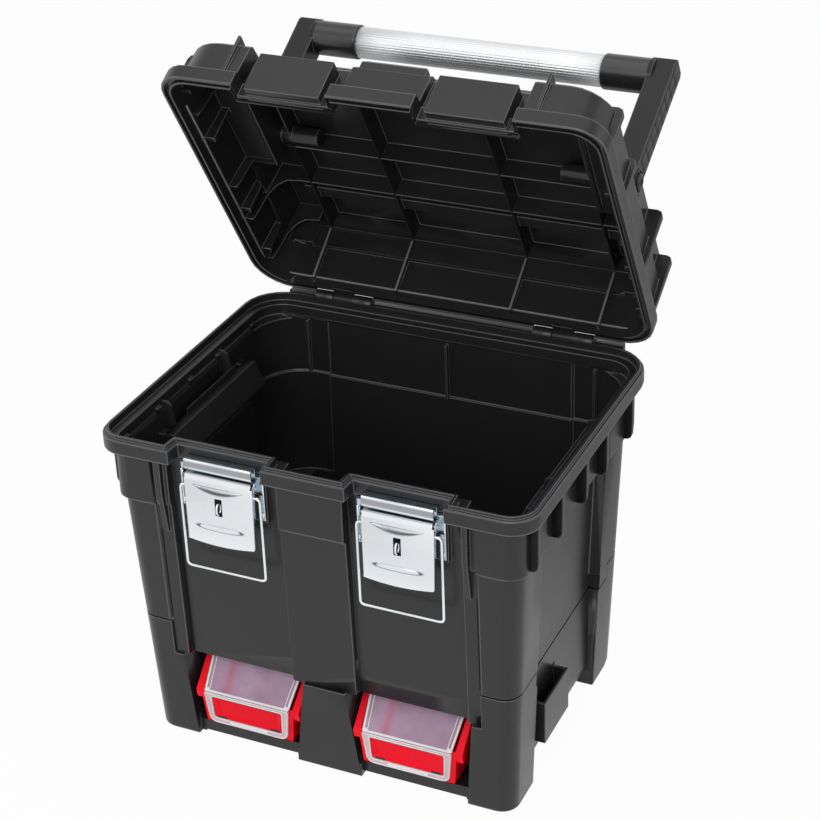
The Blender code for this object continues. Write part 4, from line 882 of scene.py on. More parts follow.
@dataclass
class Mouldings:
    """The black mouldings: rounded copies of the tub, base, rails, lid and handle arms, and details on them.

    Sizes are in mm; the lid's are those of the closed lid.
    """

    rounding: float = 0.8
    lid_rounding: float = 0.7
    grip_rounding: float = 1.2
    side_rib_y: tuple = (-143.0, -81.6, -16.4, 40.7, 116.0)
    rib_out: float = 220.5
    foot_z: tuple = (280.0, 296.0)
    foot_round: float = 3.4
    panel_x: tuple = (-60.0, -10.0)
    panel_y: float = -150.0
    panel_z: tuple = (139.0, 282.0)
    panel_round: float = 0.3
    skin_top: float = 446.0
    skin_side: float = 177.0
    boss_x: float = 174.5
    peg_y: float = 9.0
    peg_z: float = 422.9
    knuckle_x: tuple = (-147.3, -102.7, 102.7, 147.3)
    partition_y: tuple = (-72.0, 45.0)
    lid_rib_x: tuple = (-162.0, -65.0, 65.0, 162.0)

    def build(self) -> None:
        """Make every black moulding and dress it."""
        box, lid, handle = Body.BOX.value, Body.LID.value, Body.HANDLE.value
        plan = (
            ("tub", "tub_moulding", box, BLACK, self.rounding),
            ("base_frame", "base_moulding", box, BLACK, self.rounding),
            ("inner_rail_left", "inner_rail_left_moulding", box, BLACK, self.grip_rounding),
            ("inner_rail_right", "inner_rail_right_moulding", box, BLACK, self.grip_rounding),
            ("lid", "lid_moulding", lid, LID_BLACK, self.lid_rounding),
            ("handle_arm_left", "handle_arm_left_moulding", handle, HANDLE_BLACK, self.grip_rounding),
            ("handle_arm_right", "handle_arm_right_moulding", handle, HANDLE_BLACK, self.grip_rounding),
        )
        for node, name, body, finish, width in plan:
            soft = self.tub_edges if node == "tub" else None
            stray = self.rib_ends if node == "lid" else None
            dress(rounded_copy(node, name, width, soft, stray), finish, body, node, edged=True)
        dress(self.hinge_sleeves(), BLACK, box)
        dress(self.partitions(), BLACK, box)
        # dark plates that paint the shade on the side ribs' front faces
        dress(self.rib_faces(), SHADE_BLACK, box)
        # pale beads that paint highlight lines inside the lid's rim and along its ribs
        dress(self.lid_bead(), BEAD_HIGHLIGHT, lid)
        for number, x in enumerate(self.lid_rib_x):
            dress(self.rib_bead(number, x), BEAD_HIGHLIGHT, lid)

    def tub_edges(self, middle: Array) -> float:
        """Wider rounding for the outer feet of the side ribs, and less on the left edge of the centre panel."""
        x, y, z = middle
        if abs(abs(x) - self.rib_out) < 0.4 and self.foot_z[0] < z < self.foot_z[1]:
            return self.foot_round
        on_panel = self.panel_x[0] < x < self.panel_x[1] and y < self.panel_y
        return self.panel_round if on_panel and self.panel_z[0] < z < self.panel_z[1] else 0.0

    def rib_ends(self, place: Array) -> Array:
        """Which points of the lid are ends of inner ribs that stand out of its outer skin.

        The points are first turned back into the closed lid's frame.
        """
        x, y, z = np.abs(place[:, 0]), place[:, 1] - HINGE[0], place[:, 2] - HINGE[1]
        along = y * math.cos(LID_OPEN) - z * math.sin(LID_OPEN) + HINGE[0]
        height = y * math.sin(LID_OPEN) + z * math.cos(LID_OPEN) + HINGE[1]
        on_top = (np.abs(height - self.skin_top) < 0.1) & (np.abs(x - self.boss_x) < 2.6)
        beside = (np.abs(x - self.skin_side) < 0.1) & (np.abs(along - self.peg_y) < 1.2) & (height > self.peg_z)
        return on_top | beside

    def hinge_sleeves(self) -> Piece:
        """Sleeves round the tub's hinge knuckles, inside the ring that the lid's notches leave free."""
        length = np.array([-10.5, -10.1, 10.1, 10.5])
        radius = np.array([6.7, 7.05, 7.05, 6.7])[:, None]
        return shells_object("hinge_sleeves", [
            lathe(middle + length, radius, circle(36), *HINGE, way=-1.0) for middle in self.knuckle_x])

    def rib_faces(self) -> Piece:
        """Plates with round feet on the front faces of the hanging side ribs, their front edges drawn in; their
        darker black paints the shade that lies on those faces.
        """
        outline = [(205.8, 0.0, 334.0), (220.9, 0.0, 334.0), (220.9, 0.0, 282.0), (205.8, 0.0, 282.0)]
        path = rounded_path(outline, [0.6, 0.6, 7.2, 7.2], 9, closed=True)
        ends = ((-5.4, 0.93), (-5.3, 0.97), (-4.7, 1.0), (-3.6, 1.0))
        return shells_object("side_rib_faces", [
            carried(path, ends, y) * np.array([s, 1.0, 1.0]) for s in BOTH for y in self.side_rib_y])

    def partitions(self) -> Piece:
        """Low ribs across the ledge inside each side wall, each with a rounded inner top corner."""
        outline = [(-211.0, 0.0, 338.5), (-198.5, 0.0, 336.5), (-194.5, 0.0, 303.0), (-208.0, 0.0, 303.0)]
        path = rounded_path(outline, [0.8, 5.0, 1.5, 0.8], 8, closed=True)
        ends = ((-1.5, 0.95), (-1.3, 0.985), (-0.8, 1.0), (0.8, 1.0), (1.3, 0.985), (1.5, 0.95))
        return shells_object("side_partitions", [
            carried(path, ends, y) * np.array([-s, 1.0, 1.0]) for s in BOTH for y in self.partition_y])

    @staticmethod
    def rib_bead(number: int, x: float) -> Piece:
        """Round edge of one of the lid's ribs, down the lid's back wall to the bead; its pale grey is a painted
        highlight along the rib's edge.
        """
        path = np.array([(x, 148.4, 421.0), (x, 152.2, 390.0), (x, 155.9, 362.0), (x, 158.2, 362.6)])
        return flat_tube("lid_rib_bead_%d" % number, opened(rounded_path(path, 1.2, 6)), (1.0, 0.0, 0.0), 1.35)

    @staticmethod
    def lid_bead() -> Piece:
        """Bead round the inside of the lid's rim, along the back and both sides; its pale grey is a painted
        highlight line along the rim's inner edge.
        """
        x, back, front, z = 216.3, 159.9, -118.0, 364.6
        path = rounded_path([(-x, front, z), (-x, back, z), (x, back, z), (x, front, z)], 29.0, 14)
        return flat_tube("lid_bead", opened(path), (0.0, math.sin(LID_OPEN), math.cos(LID_OPEN)), 1.25)


@dataclass
class Handle:
    """Ribbed tube, bolt heads, and the rings and tile relief on the arms; sizes in mm, lid closed."""

    tube_y: float = -2.5
    tube_z: float = 558.0
    tube_r: float = 16.4
    tube_half: float = 135.0
    flutes: int = 36
    flute_d: float = 0.3
    pivot_z: float = 430.5
    arm_out: float = 208.0
    tile_z: tuple = (446.5, 570.5)
    tile_rows: int = 8
    tile_half: float = 12.2
    tile_gap: float = 0.9
    tile_rise: float = 0.6
    tile_sink: float = 0.15
    tile_body: float = 0.8

    def build(self) -> None:
        """Make and dress the handle's own pieces."""
        handle = Body.HANDLE.value
        dress(self.tube(), ALUMINIUM, handle, "handle_tube")
        for side in Side:
            dress(self.socket(side), SOCKET_BLACK, handle)
            dress(self.bolt(side), BLACK_BOLTS_AND_SHADE, Body.LID.value, "handle_bolt_" + side.word)
            dress(self.ring(side), HANDLE_BLACK, handle)
            dress(self.tiles(side), HANDLE_BLACK, handle)

    def tube(self) -> Piece:
        """Drawn tube: narrow grooves run along it, each a high power of a cosine round the circle."""
        turn = circle(self.flutes * 8)
        wave = (0.5 + 0.5 * np.cos(self.flutes * turn)) ** 3
        along = np.array([-1.0, -0.998, -0.5, 0.0, 0.5, 0.998, 1.0]) * self.tube_half
        shrink = np.array([0.96, 1.0, 1.0, 1.0, 1.0, 1.0, 0.96])
        radius = (self.tube_r - self.flute_d * wave)[None, :] * shrink[:, None]
        points = lathe(along, radius, turn, self.tube_y, self.tube_z)
        return grid_object("handle_tube_ribbed", opened(capped(points)), wrap_cols=True)

    def turned(self, name: str, side: Side, radius: Array, height: Array, six_from: int) -> Piece:
        """Turn a profile of radius and height round the pivot line.

        Args:
            name: piece name.
            side: left or right.
            radius: distance from the pivot line in mm.
            height: distance out from the arm's face in mm.
            six_from: profile points from this number on follow a hexagon instead of a circle.

        Returns:
            The object.
        """
        turn = circle(48)
        six = 0.93 / np.cos((turn + np.pi / 6) % (np.pi / 3) - np.pi / 6)
        form = np.where((np.arange(len(radius)) >= six_from)[:, None], six[None, :], 1.0)
        x = side.value * (self.arm_out + height)
        points = lathe(x, radius[:, None] * form, turn, self.tube_y, self.pivot_z)
        return grid_object(name, opened(points), wrap_cols=True)

    def bolt(self, side: Side) -> Piece:
        """Domed bolt head with a six-sided socket."""
        height = np.array([0.3, 0.3, 1.0, 2.6, 3.6, 3.9, 3.7, 1.0, 0.9, 0.9])
        radius = np.array([0.0, 8.3, 8.6, 8.3, 6.8, 5.0, 4.6, 4.4, 4.2, 0.0])
        return self.turned("handle_bolt_%s_head" % side.word, side, radius, height, 6)

    def ring(self, side: Side) -> Piece:
        """Raised ring moulded on the arm round the bolt head."""
        height = np.array([-0.4, 0.7, 1.3, 1.4, 1.1, -0.4, -0.4])
        radius = np.array([13.2, 13.2, 12.7, 11.3, 10.7, 10.4, 13.2])
        return self.turned("handle_ring_" + side.word, side, radius, height, len(radius))

    def socket(self, side: Side) -> Piece:
        """Smooth sleeve of the arm's socket: radius over length, turned about the tube's axis."""
        length = np.array([135.4, 135.6, 136.3, 137.2, 182.3, 182.9, 182.95])
        radius = np.array([16.9, 17.7, 18.1, 18.1, 18.1, 18.1, 17.2])[:, None]
        turn = circle(48) * side.value
        points = lathe(side.value * length, radius, turn, self.tube_y, self.tube_z, way=-1.0)
        return grid_object("handle_socket_" + side.word, opened(capped(points)), wrap_cols=True)

    def tiles(self, side: Side) -> Piece:
        """Two columns of tiles on the arm's outer face: the lower of two trapezoid waves, across and along."""
        edge = np.array([0.0, 0.25, 0.7])
        level = np.array([0.0, 0.8, 1.0])

        def row(low: float, high: float, count: int) -> tuple:
            """Places and heights of count tiles between low and high."""
            pitch = (high - low) / count
            starts = low + pitch * np.arange(count)[:, None] + self.tile_gap / 2
            ends = starts + pitch - self.tile_gap
            spots = np.concatenate([starts + edge, ends - edge[::-1]], 1).reshape(-1)
            return spots, np.tile(np.concatenate([level, level[::-1]]), count)

        y, across = row(self.tube_y - self.tile_half, self.tube_y + self.tile_half, 2)
        z, along = row(*self.tile_z, self.tile_rows)
        height = self.tile_rise * np.minimum(across[None, :], along[:, None]) - self.tile_sink
        front = np.stack(np.broadcast_arrays(side.value * (self.arm_out + height), y, z[:, None]), -1)
        made = grid_object("handle_tiles_" + side.word, opened(front))
        return thickened(made, "tile_body", self.tile_body, side.value * -1.0)


@dataclass
class Latch:
    """Draw latch: stamped lever, wire bail, back plate and padlock loop; sizes in mm."""

    middle: float = 93.0
    half: float = 37.0
    low_z: float = 252.6
    bow: float = 3.2
    top_z: float = 321.0
    lean: float = 1.6
    flare: float = 0.8
    fold: float = 2.0
    flange: float = 3.2
    taper: float = 1.0
    face_y: float = -172.2
    pin_y: float = -167.0
    pin_z: float = 322.0
    roll: float = 5.0
    roll_turn: float = 235.0
    sheet: float = 1.1
    panel_half: float = 30.0
    panel_z: tuple = (263.0, 305.0)
    panel_rise: float = 0.5
    slot_x: float = 3.9
    slot_z: float = 295.4
    slot_half: float = 9.3
    slot_back: float = -169.0
    eye_y: float = -172.9
    eye_z: float = 294.0
    eye_half: tuple = (4.0, 5.8)
    bead_z: float = 272.0
    bead_run: float = 23.6
    bead_r: float = 3.1
    bead_rise: float = 1.5
    scoop_z: float = 315.8
    scoop_half: float = 28.0
    scoop_drop: float = 6.8
    scoop_deep: float = 1.9
    bail_half: float = 42.8
    bail_y: float = -168.0
    bail_z: float = 311.5
    bail_low: float = 219.5
    bail_r: float = 1.5
    plate_round: float = 0.5
    plate_y: float = -161.9
    flange_x: float = 43.6
    bar_back: float = -169.2
    bar_y: float = -169.7
    bar_z: float = 335.5
    bar_half: tuple = (1.1, 5.2)
    bar_ends: tuple = (340.7, 330.3)
    # bar_dark to roll_dark: strengths, places and widths of painted shade and dark reflections on the bar and the
    # lever
    bar_dark: tuple = (0.68, 332.4, 338.9, 1.4)
    bead_dark: tuple = (1.0, 0.14)
    bead_tip: float = 19.0
    scoop_dark: tuple = ((0.95, 0.86, 0.19), (0.35, 0.06, 0.09))
    scoop_left: float = 0.5
    corner_dark: float = 0.18
    roll_dark: tuple = (0.66, 46.0, 7.0)

    def build(self) -> None:
        """Make and dress both latches."""
        box = Body.BOX.value
        for side in Side:
            lever, bail, plate, staple = (
                "latch_%s_%s" % (part, side.word) for part in ("lever", "bail", "plate", "staple"))
            dress(self.lever(side), ZINC, lever, lever)
            dress(self.bail(side), ZINC, bail, bail)
            dress(rounded_copy(plate, plate + "_bent", self.plate_round), PLATE_ZINC, box, plate)
            dress(self.staple(side), ZINC, box, staple)
            dress(self.stem(side), ZINC, box)
            dress(self.edges(side), ZINC, box)
            dress(self.bar(side), ZINC, box)
            # black patches that paint the shade behind the lever's slot and in the flanges' holes
            dress(self.shade_patches(side), BLACK_BOLTS_AND_SHADE, box)

    def bead_share(self, x: Array, z: Array) -> Array:
        """Place in the lever's bead, from 0 in its middle to 1 on its outline, which is nearly an ellipse."""
        return np.sqrt(np.abs(x / self.bead_run) ** 2.6 + ((z - self.bead_z) / self.bead_r) ** 2)

    def scoop_share(self, x: Array, z: Array) -> Array:
        """Place in the lever's scoop, from 0 at its straight upper edge to 1 at its bowed lower edge."""
        drop = self.scoop_drop * unit(1.0 - (x / self.scoop_half) ** 2)
        return (self.scoop_z - z) / np.maximum(drop, 0.3)

    def relief(self, x: Array, z: Array) -> Array:
        """Stamped relief of the lever's face, in mm outwards.

        The sum of a raised panel with very soft borders, a long bead whose section is a parabola,
        and a lens-shaped scoop whose upper edge is straight and whose lower edge is bowed.
        """
        low, high = self.panel_z
        panel = step(self.panel_half - np.abs(x), 9.0) * step(z - low, 8.0) * step(high - z, 8.0)
        bead = unit(1.0 - self.bead_share(x, z) ** 2)
        share = unit(self.scoop_share(x, z))
        deep = np.sqrt(unit(1.0 - (x / self.scoop_half) ** 2))
        scoop = self.scoop_deep * deep * np.sin(np.pi * share ** 0.7)
        return self.panel_rise * panel + self.bead_rise * bead - scoop

    def lever(self, side: Side) -> Piece:
        """Lever sheet: a cross profile with folded sides carried up a path that ends in a roll.

        Across, the profile is flat, then turns back by a quarter circle into a short flange. Along, the
        path climbs the leaning face from the bowed foot and wraps round the pin.
        """
        fold, flange, mid = self.fold, self.flange, side.value * self.middle
        flat, tall = self.half - fold, self.top_z - self.low_z
        xs = np.unique(np.concatenate([np.linspace(-flat, flat, 141), [-self.slot_x, self.slot_x]]))
        turn = np.linspace(0.0, np.pi / 2, 6)[1:]
        cx = np.concatenate([flat + fold * np.sin(turn), [self.half, self.half]])
        cd = np.concatenate([fold * (1 - np.cos(turn)), [fold + flange * 0.5, fold + flange]])
        x = np.concatenate([-cx[::-1], xs, cx])
        back = np.concatenate([cd[::-1], np.zeros(len(xs)), cd])
        steps = np.linspace(0.0, 1.0, 140)
        foot = self.low_z + self.bow * (np.clip(x, -flat, flat) / self.half) ** 2
        z = foot[None, :] + steps[:, None] * (self.top_z - foot)[None, :]
        lean = -self.lean * (self.top_z - z) / tall
        flat_x = np.broadcast_to(x, z.shape)
        flare = -self.flare * unit(1.0 - steps * 16.0)[:, None] ** 2
        y = self.face_y + lean + back[None, :] + flare
        y = y - self.relief(flat_x, z) * (back < 1e-6)[None, :]
        wrap = np.linspace(0.0, math.radians(self.roll_turn), 26)[1:, None]
        roll_y, roll_z = self.pin_y - self.roll * np.cos(wrap), self.pin_z + self.roll * np.sin(wrap)
        rolled = np.stack(np.broadcast_arrays(x, roll_y, roll_z), -1)
        points = np.concatenate([np.stack([flat_x, y, z], -1), rolled])
        narrow = 1.0 - self.taper * (1.0 - unit((points[..., 2] - self.low_z) / tall)) / self.half
        points[..., 0] *= np.where(np.abs(points[..., 0]) > 10.0, narrow, 1.0)
        points[..., 0] += mid
        quads = sum(points[a:a - 1 or None, b:b - 1 or None] * 0.25 for a in (0, 1) for b in (0, 1))
        local = np.abs(quads[..., 0] - mid)
        slot = (local < self.slot_x) & (np.abs(quads[..., 2] - self.slot_z) < self.slot_half)
        slot &= quads[..., 1] < self.slot_back
        rows = np.arange(points.shape[0] - 1)[:, None]
        folded = (rows >= len(steps) - 1) & (local > flat + 0.2)
        made = grid_object("latch_lever_%s_stamped" % side.word, points, keep=~(slot | folded).reshape(-1))
        self.paint_shade_and_reflections(made, side)
        return thickened(made, "sheet", self.sheet, -1.0)

    def paint_shade_and_reflections(self, made: Piece, side: Side) -> None:
        """Paint shade and dark reflections into the lever's colour: round the bead, along the scoop, on the upper
        left of the face and on top of the roll.

        Each line is a bell curve of the distance from it; the bead's is stronger at its ends and below,
        and the scoop and the upper left of the face are darker towards the left.
        """
        x, y, z = places(made).T
        x = x - side.value * self.middle
        lower = unit(np.maximum((np.abs(x) - self.bead_tip) / 3.0, (self.bead_z - z) / 3.0))
        bead = bell(self.bead_share(x, z), *self.bead_dark) * (0.2 + 0.8 * lower)
        share = self.scoop_share(x, z)
        inside = (np.abs(x) < self.scoop_half) & (share > -0.2) & (share < 1.2)
        lines = sum(strength * bell(share, middle, width) for strength, middle, width in self.scoop_dark)
        scoop = lines + self.scoop_left * unit(0.5 - x / 50.0) * unit(share)
        corner = self.corner_dark * unit((z - 268.0) / 45.0) * unit(0.6 - x / 60.0)
        face = bead + np.where(inside, scoop, 0.0) + corner
        turn = np.degrees(np.arctan2(z - self.pin_z, self.pin_y - y))
        strength, start, soft = self.roll_dark
        # painted shade on the face, and a painted dark reflection band on the roll
        paint(made, "crease", np.where(z < self.top_z, face, strength * step(turn - start, soft)))

    def bail(self, side: Side) -> Piece:
        """Bent wire: in through the lever's tab, down, across with rounded corners, and up again."""
        inner, outer = self.half - 4.0, self.bail_half
        bends = ((-inner, self.bail_z), (-outer, self.bail_z), (-outer, self.bail_low),
                 (outer, self.bail_low), (outer, self.bail_z), (inner, self.bail_z))
        path = rounded_path([(side.value * self.middle + x, self.bail_y, z) for x, z in bends], 5.0, 9)
        return flat_tube("latch_bail_%s_wire" % side.word, path, (0.0, 1.0, 0.0), self.bail_r)

    def staple(self, side: Side) -> Piece:
        """Padlock loop: an oval ring of wire that stands half out through the lever's slot."""
        turn, (deep, tall) = circle(40), self.eye_half
        path = np.stack([np.full(40, side.value * self.middle), self.eye_y + deep * np.cos(turn),
                         self.eye_z + tall * np.sin(turn)], -1)
        return flat_tube("latch_staple_%s_loop" % side.word, path, (1.0, 0.0, 0.0), 1.0, closed=True)

    def stem(self, side: Side) -> Piece:
        """Straight wire from the loop back to the plate."""
        mid = side.value * self.middle
        path = np.array([(mid, y, self.eye_z) for y in (self.plate_y - 0.4, -165.5, -168.6)])
        return flat_tube("latch_staple_%s_stem" % side.word, path, (1.0, 0.0, 0.0), 1.1)

    @staticmethod
    def upright(x: float, y: float, low: float, high: float, width: float, rise: float) -> Array:
        """A strip that stands on the plate from low to high."""
        return strip((x, y, low), (x, y, high), FORWARD, width, rise)

    def edges(self, side: Side) -> Piece:
        """Folded outer edges of the back plate's flanges, one at each side."""
        mid = side.value * self.middle
        return shells_object("latch_edges_" + side.word, [
            self.upright(mid + s * self.flange_x, self.plate_y, 285.0, 325.0, 2.2, 1.3) for s in BOTH])

    def bar(self, side: Side) -> Piece:
        """Rolled front of the plate's top strip: a flat bulge carried along X, with a painted dark reflection
        band along it.
        """
        turn, (deep, tall) = np.linspace(0.0, np.pi, 17), self.bar_half
        z = np.append(self.bar_z - tall * np.cos(turn), self.bar_ends)
        y = np.append(self.bar_y - deep * np.sin(turn) ** 0.8, [self.bar_back] * 2)
        along = side.value * self.middle + np.array([-36.0, -35.7, 35.7, 36.0])
        rows = [np.column_stack([np.full(len(z), x), self.bar_back + (y - self.bar_back) * share, z])
                for x, share in zip(along, (0.8, 1.0, 1.0, 0.8))]
        made = shells_object("latch_bar_" + side.word, [np.array(rows)])
        # painted dark reflection band across the rolled bar
        height, (strength, low, high, soft) = places(made)[:, 2], self.bar_dark
        paint(made, "crease", strength * step(height - low, soft) * step(high - height, soft))
        return made

    def shade_patches(self, side: Side) -> Piece:
        """Black patches that paint the shade behind the lever's slot and in the two upper holes of the flanges.
        """
        mid, y = side.value * self.middle, self.plate_y + 0.1
        hole_shades = [self.upright(mid + s * 40.0, y, 311.8, 315.2, 6.4, 0.5) for s in BOTH]
        return shells_object("latch_painted_shade_" + side.word, [self.upright(mid, y, 283.5, 306.5, 11.5, 1.6), *hole_shades])


@dataclass
class Bins:
    """Red bins and their clear flaps; sizes in mm."""

    rounding: float = 0.7
    middle: float = 88.5
    foot_z: float = 24.6
    crease_z: float = 61.2
    face_y: float = -158.7
    face_z: float = 26.9
    lean: float = 2.0 / 33.75
    sheet: float = 1.9
    half_low: float = 44.0
    half_crease: float = 47.9
    half_top: float = 50.8
    reach: float = 28.2
    hole_half: float = 39.8
    hole_z: tuple = (30.8, 58.4)
    ring_corners: tuple = (8.0, 8.0, 1.5, 1.5)
    hole_corners: tuple = (3.0, 3.0, 3.0, 3.0)
    lip_r: float = 0.6
    shadow_z: float = 32.6

    def build(self) -> None:
        """Make and dress both bins and flaps."""
        for side in Side:
            holder, flap = "bin_" + side.word, "bin_flap_" + side.word
            dress(rounded_copy(holder, holder + "_moulding", self.rounding), RED, holder, holder)
            dress(self.border(side), RED, holder)
            dress(self.window(side), WINDOW, flap, flap)
            dress(self.ring(side), RING, flap)
            # black strips that paint the shadow in the gap at the foot of the bin's front
            dress(self.shadows(side), BLACK_BOLTS_AND_SHADE, holder)
            for name, path in self.outlines(side).items():
                dress(flat_tube(name, path, (0.0, 1.0, 0.0), self.lip_r, closed=True), WHITE_EDGE, flap)
            dress(self.rims(side), WHITE_EDGE, flap)

    def face(self, z: Array, depth: Array) -> Array:
        """Y of a point that stands out by depth from the leaning back of the flap's front, at height z."""
        return self.face_y - self.lean * (z - self.face_z) - depth

    def loop(self, side: Side, low: tuple, high: tuple, radii: Sequence[float]) -> Array:
        """Rounded outline in x and z.

        Args:
            side: left or right.
            low: half width and height of the lower edge.
            high: half width and height of the upper edge.
            radii: cut back of the lower left, lower right, upper right and upper left corner.

        Returns:
            (n, 2) points.
        """
        mid = side.value * self.middle
        corners = [(mid - low[0], low[1], 0.0), (mid + low[0], low[1], 0.0),
                   (mid + high[0], high[1], 0.0), (mid - high[0], high[1], 0.0)]
        return rounded_path(corners, radii, 9, closed=True)[:, :2]

    def ring(self, side: Side) -> Piece:
        """White frame of the flap's front: two raised lips with a lower band between, round the hole."""
        low, high = self.hole_z
        outer = self.loop(
            side, (self.half_low, self.foot_z), (self.half_crease, self.crease_z), self.ring_corners)
        inner = self.loop(side, (self.hole_half - 1.0, low), (self.hole_half, high), self.hole_corners)
        t = self.sheet
        section = (
            (0.0, 0.1), (0.0, t), (0.05, t + 0.5), (0.16, t + 0.5), (0.26, t - 0.2), (0.74, t - 0.2),
            (0.84, t + 0.4), (0.95, t + 0.4), (1.0, t), (1.0, 0.1), (0.9, 0.0), (0.1, 0.0),
        )
        points = framed(outer, inner, section, self.face)
        return grid_object("bin_flap_%s_ring" % side.word, points, wrap_rows=True, wrap_cols=True)

    def outlines(self, side: Side) -> dict:
        """Paths of the two lips of the ring, round its outside and round its hole, by piece name."""
        (low, high), out, into = self.hole_z, 0.6, 0.7
        loops = {
            "outer": self.loop(side, (self.half_low - into, self.foot_z + into),
                               (self.half_crease - into, self.crease_z), self.ring_corners),
            "inner": self.loop(side, (self.hole_half - out, low - out),
                               (self.hole_half + out, high), self.hole_corners),
        }
        depth = np.array(self.sheet + 0.3)
        return {
            "bin_flap_%s_%s_lip" % (side.word, word): np.stack([p[:, 0], self.face(p[:, 1], depth), p[:, 1]], -1)
            for word, p in loops.items()
        }

    def shadows(self, side: Side) -> Piece:
        """Black strips that paint the shadow in the gap at the foot of the bin's front, beside the flap's finger
        lip.
        """
        mid, z = side.value * self.middle, self.shadow_z
        y = self.face(z, 1.0)
        return shells_object("bin_painted_shadow_" + side.word, [
            strip((mid + s * 24.5, y, z), (mid + s * 35.5, y, z), FORWARD, 2.8, 0.6) for s in BOTH])

    def border(self, side: Side) -> Piece:
        """Red border moulded on the bin's front inside the hole: a flat frame that slopes down inwards."""
        half, (low, high) = self.hole_half - 0.9, self.hole_z
        outer = self.loop(side, (half - 1.0, low + 0.9), (half, high - 0.9), [2.4] * 4)
        inner = self.loop(side, (half - 6.8, low + 6.0), (half - 5.8, high - 5.2), [1.6] * 4)
        section = ((0.0, -1.2), (0.0, 0.9), (0.04, 1.15), (0.45, 1.15), (0.8, -0.2), (1.0, -0.5), (1.0, -1.2))
        points = framed(outer, inner, section, self.face)
        return grid_object("bin_border_" + side.word, points, wrap_rows=True, wrap_cols=True)

    def slope(self, x: Array, run: Array, depth: Array) -> Array:
        """Points of the sloping window: run up the slope from the crease and depth out of its back."""
        y0, z0 = self.face(self.crease_z, 0.0) + 0.3, self.crease_z - 0.2
        return np.stack([x, y0 + (run - depth) * ROOT_HALF, z0 + (run + depth) * ROOT_HALF], -1)

    def half_at(self, run: Array) -> Array:
        """Half width of the window at a run up the slope."""
        return self.half_crease + (self.half_top - self.half_crease) * run / (self.reach * ROOT_2)

    def window(self, side: Side) -> Piece:
        """Clear sheet over the slope: a slab that sags a little like a thin moulding, with a red streak."""
        rows, cols, mid = 15, 29, side.value * self.middle
        run = np.linspace(0.2, self.reach * ROOT_2, rows)
        across = np.linspace(-1.0, 1.0, cols)
        section = np.concatenate([across, across[::-1]])
        back = np.repeat([0.0, 1.0], cols)
        sag = 0.25 * (1.0 - section[None, :] ** 2) * np.sin(np.linspace(0.0, np.pi, rows))[:, None]
        x = mid + section[None, :] * (self.half_at(run) - 0.6)[:, None]
        depth = (self.sheet - 0.4) * (1.0 - back)[None, :] + 0.1 - sag
        points = self.slope(x, np.broadcast_to(run[:, None], x.shape), depth)
        made = grid_object("bin_flap_%s_window" % side.word, capped(points), wrap_cols=True)
        paint(made, "streak", bell((places(made)[:, 0] - mid) / self.half_top, -0.48, 0.09))
        return made

    def rims(self, side: Side) -> Piece:
        """White edges of the window, ridges beside them, crease bar with end bumps, and finger lip."""
        mid, end, top = side.value * self.middle, self.reach * ROOT_2, self.sheet - 0.4
        up = np.array([0.0, -1.0, 1.0]) * ROOT_HALF
        crease, bump_run = self.half_crease, 2.2

        def bar(start: tuple, stop: tuple, width: float, rise: float) -> Array:
            """A strip on top of the window between two places, each an x and a run up the slope."""
            a, b = (self.slope(mid + x, run, top) for x, run in (start, stop))
            return strip(a, b, up, width, rise)

        bars = []
        for s in BOTH:
            for inset, width, rise in ((1.3, 2.4, 1.0), (5.6, 1.0, 0.5)):
                bars.append(bar((s * (crease - inset), 0.4), (s * (self.half_top - inset), end), width, rise))
            bars.append(bar((s * (crease - 5.2), bump_run), (s * (crease - 0.6), bump_run), 4.6, 1.7))
        bars.append(bar((0.8 - crease, 0.9), (crease - 0.8, 0.9), 2.6, 0.8))
        lip_y, lip_z, lip_half = self.face(28.0, self.sheet - 0.2), 27.6, 22.0
        bars.append(strip((mid - lip_half, lip_y, lip_z), (mid + lip_half, lip_y, lip_z), FORWARD, 4.0, 1.4))
        return shells_object("bin_flap_%s_rims" % side.word, bars)


@dataclass
class SmallMetal:
    """Pins and rivets that stay as CAD solids and get a finish."""

    def build(self) -> None:
        """Give each small metal node its material."""
        finishes = {"hinge_pin": BLACK_BOLTS_AND_SHADE, "latch_pin": ZINC, "latch_rivet": ZINC}
        for name in NODES:
            for start, finish in finishes.items():
                if name.startswith(start):
                    NODES[name].data.materials.clear()
                    NODES[name].data.materials.append(finish.material())
                    LOG.info("finish on %s", name)


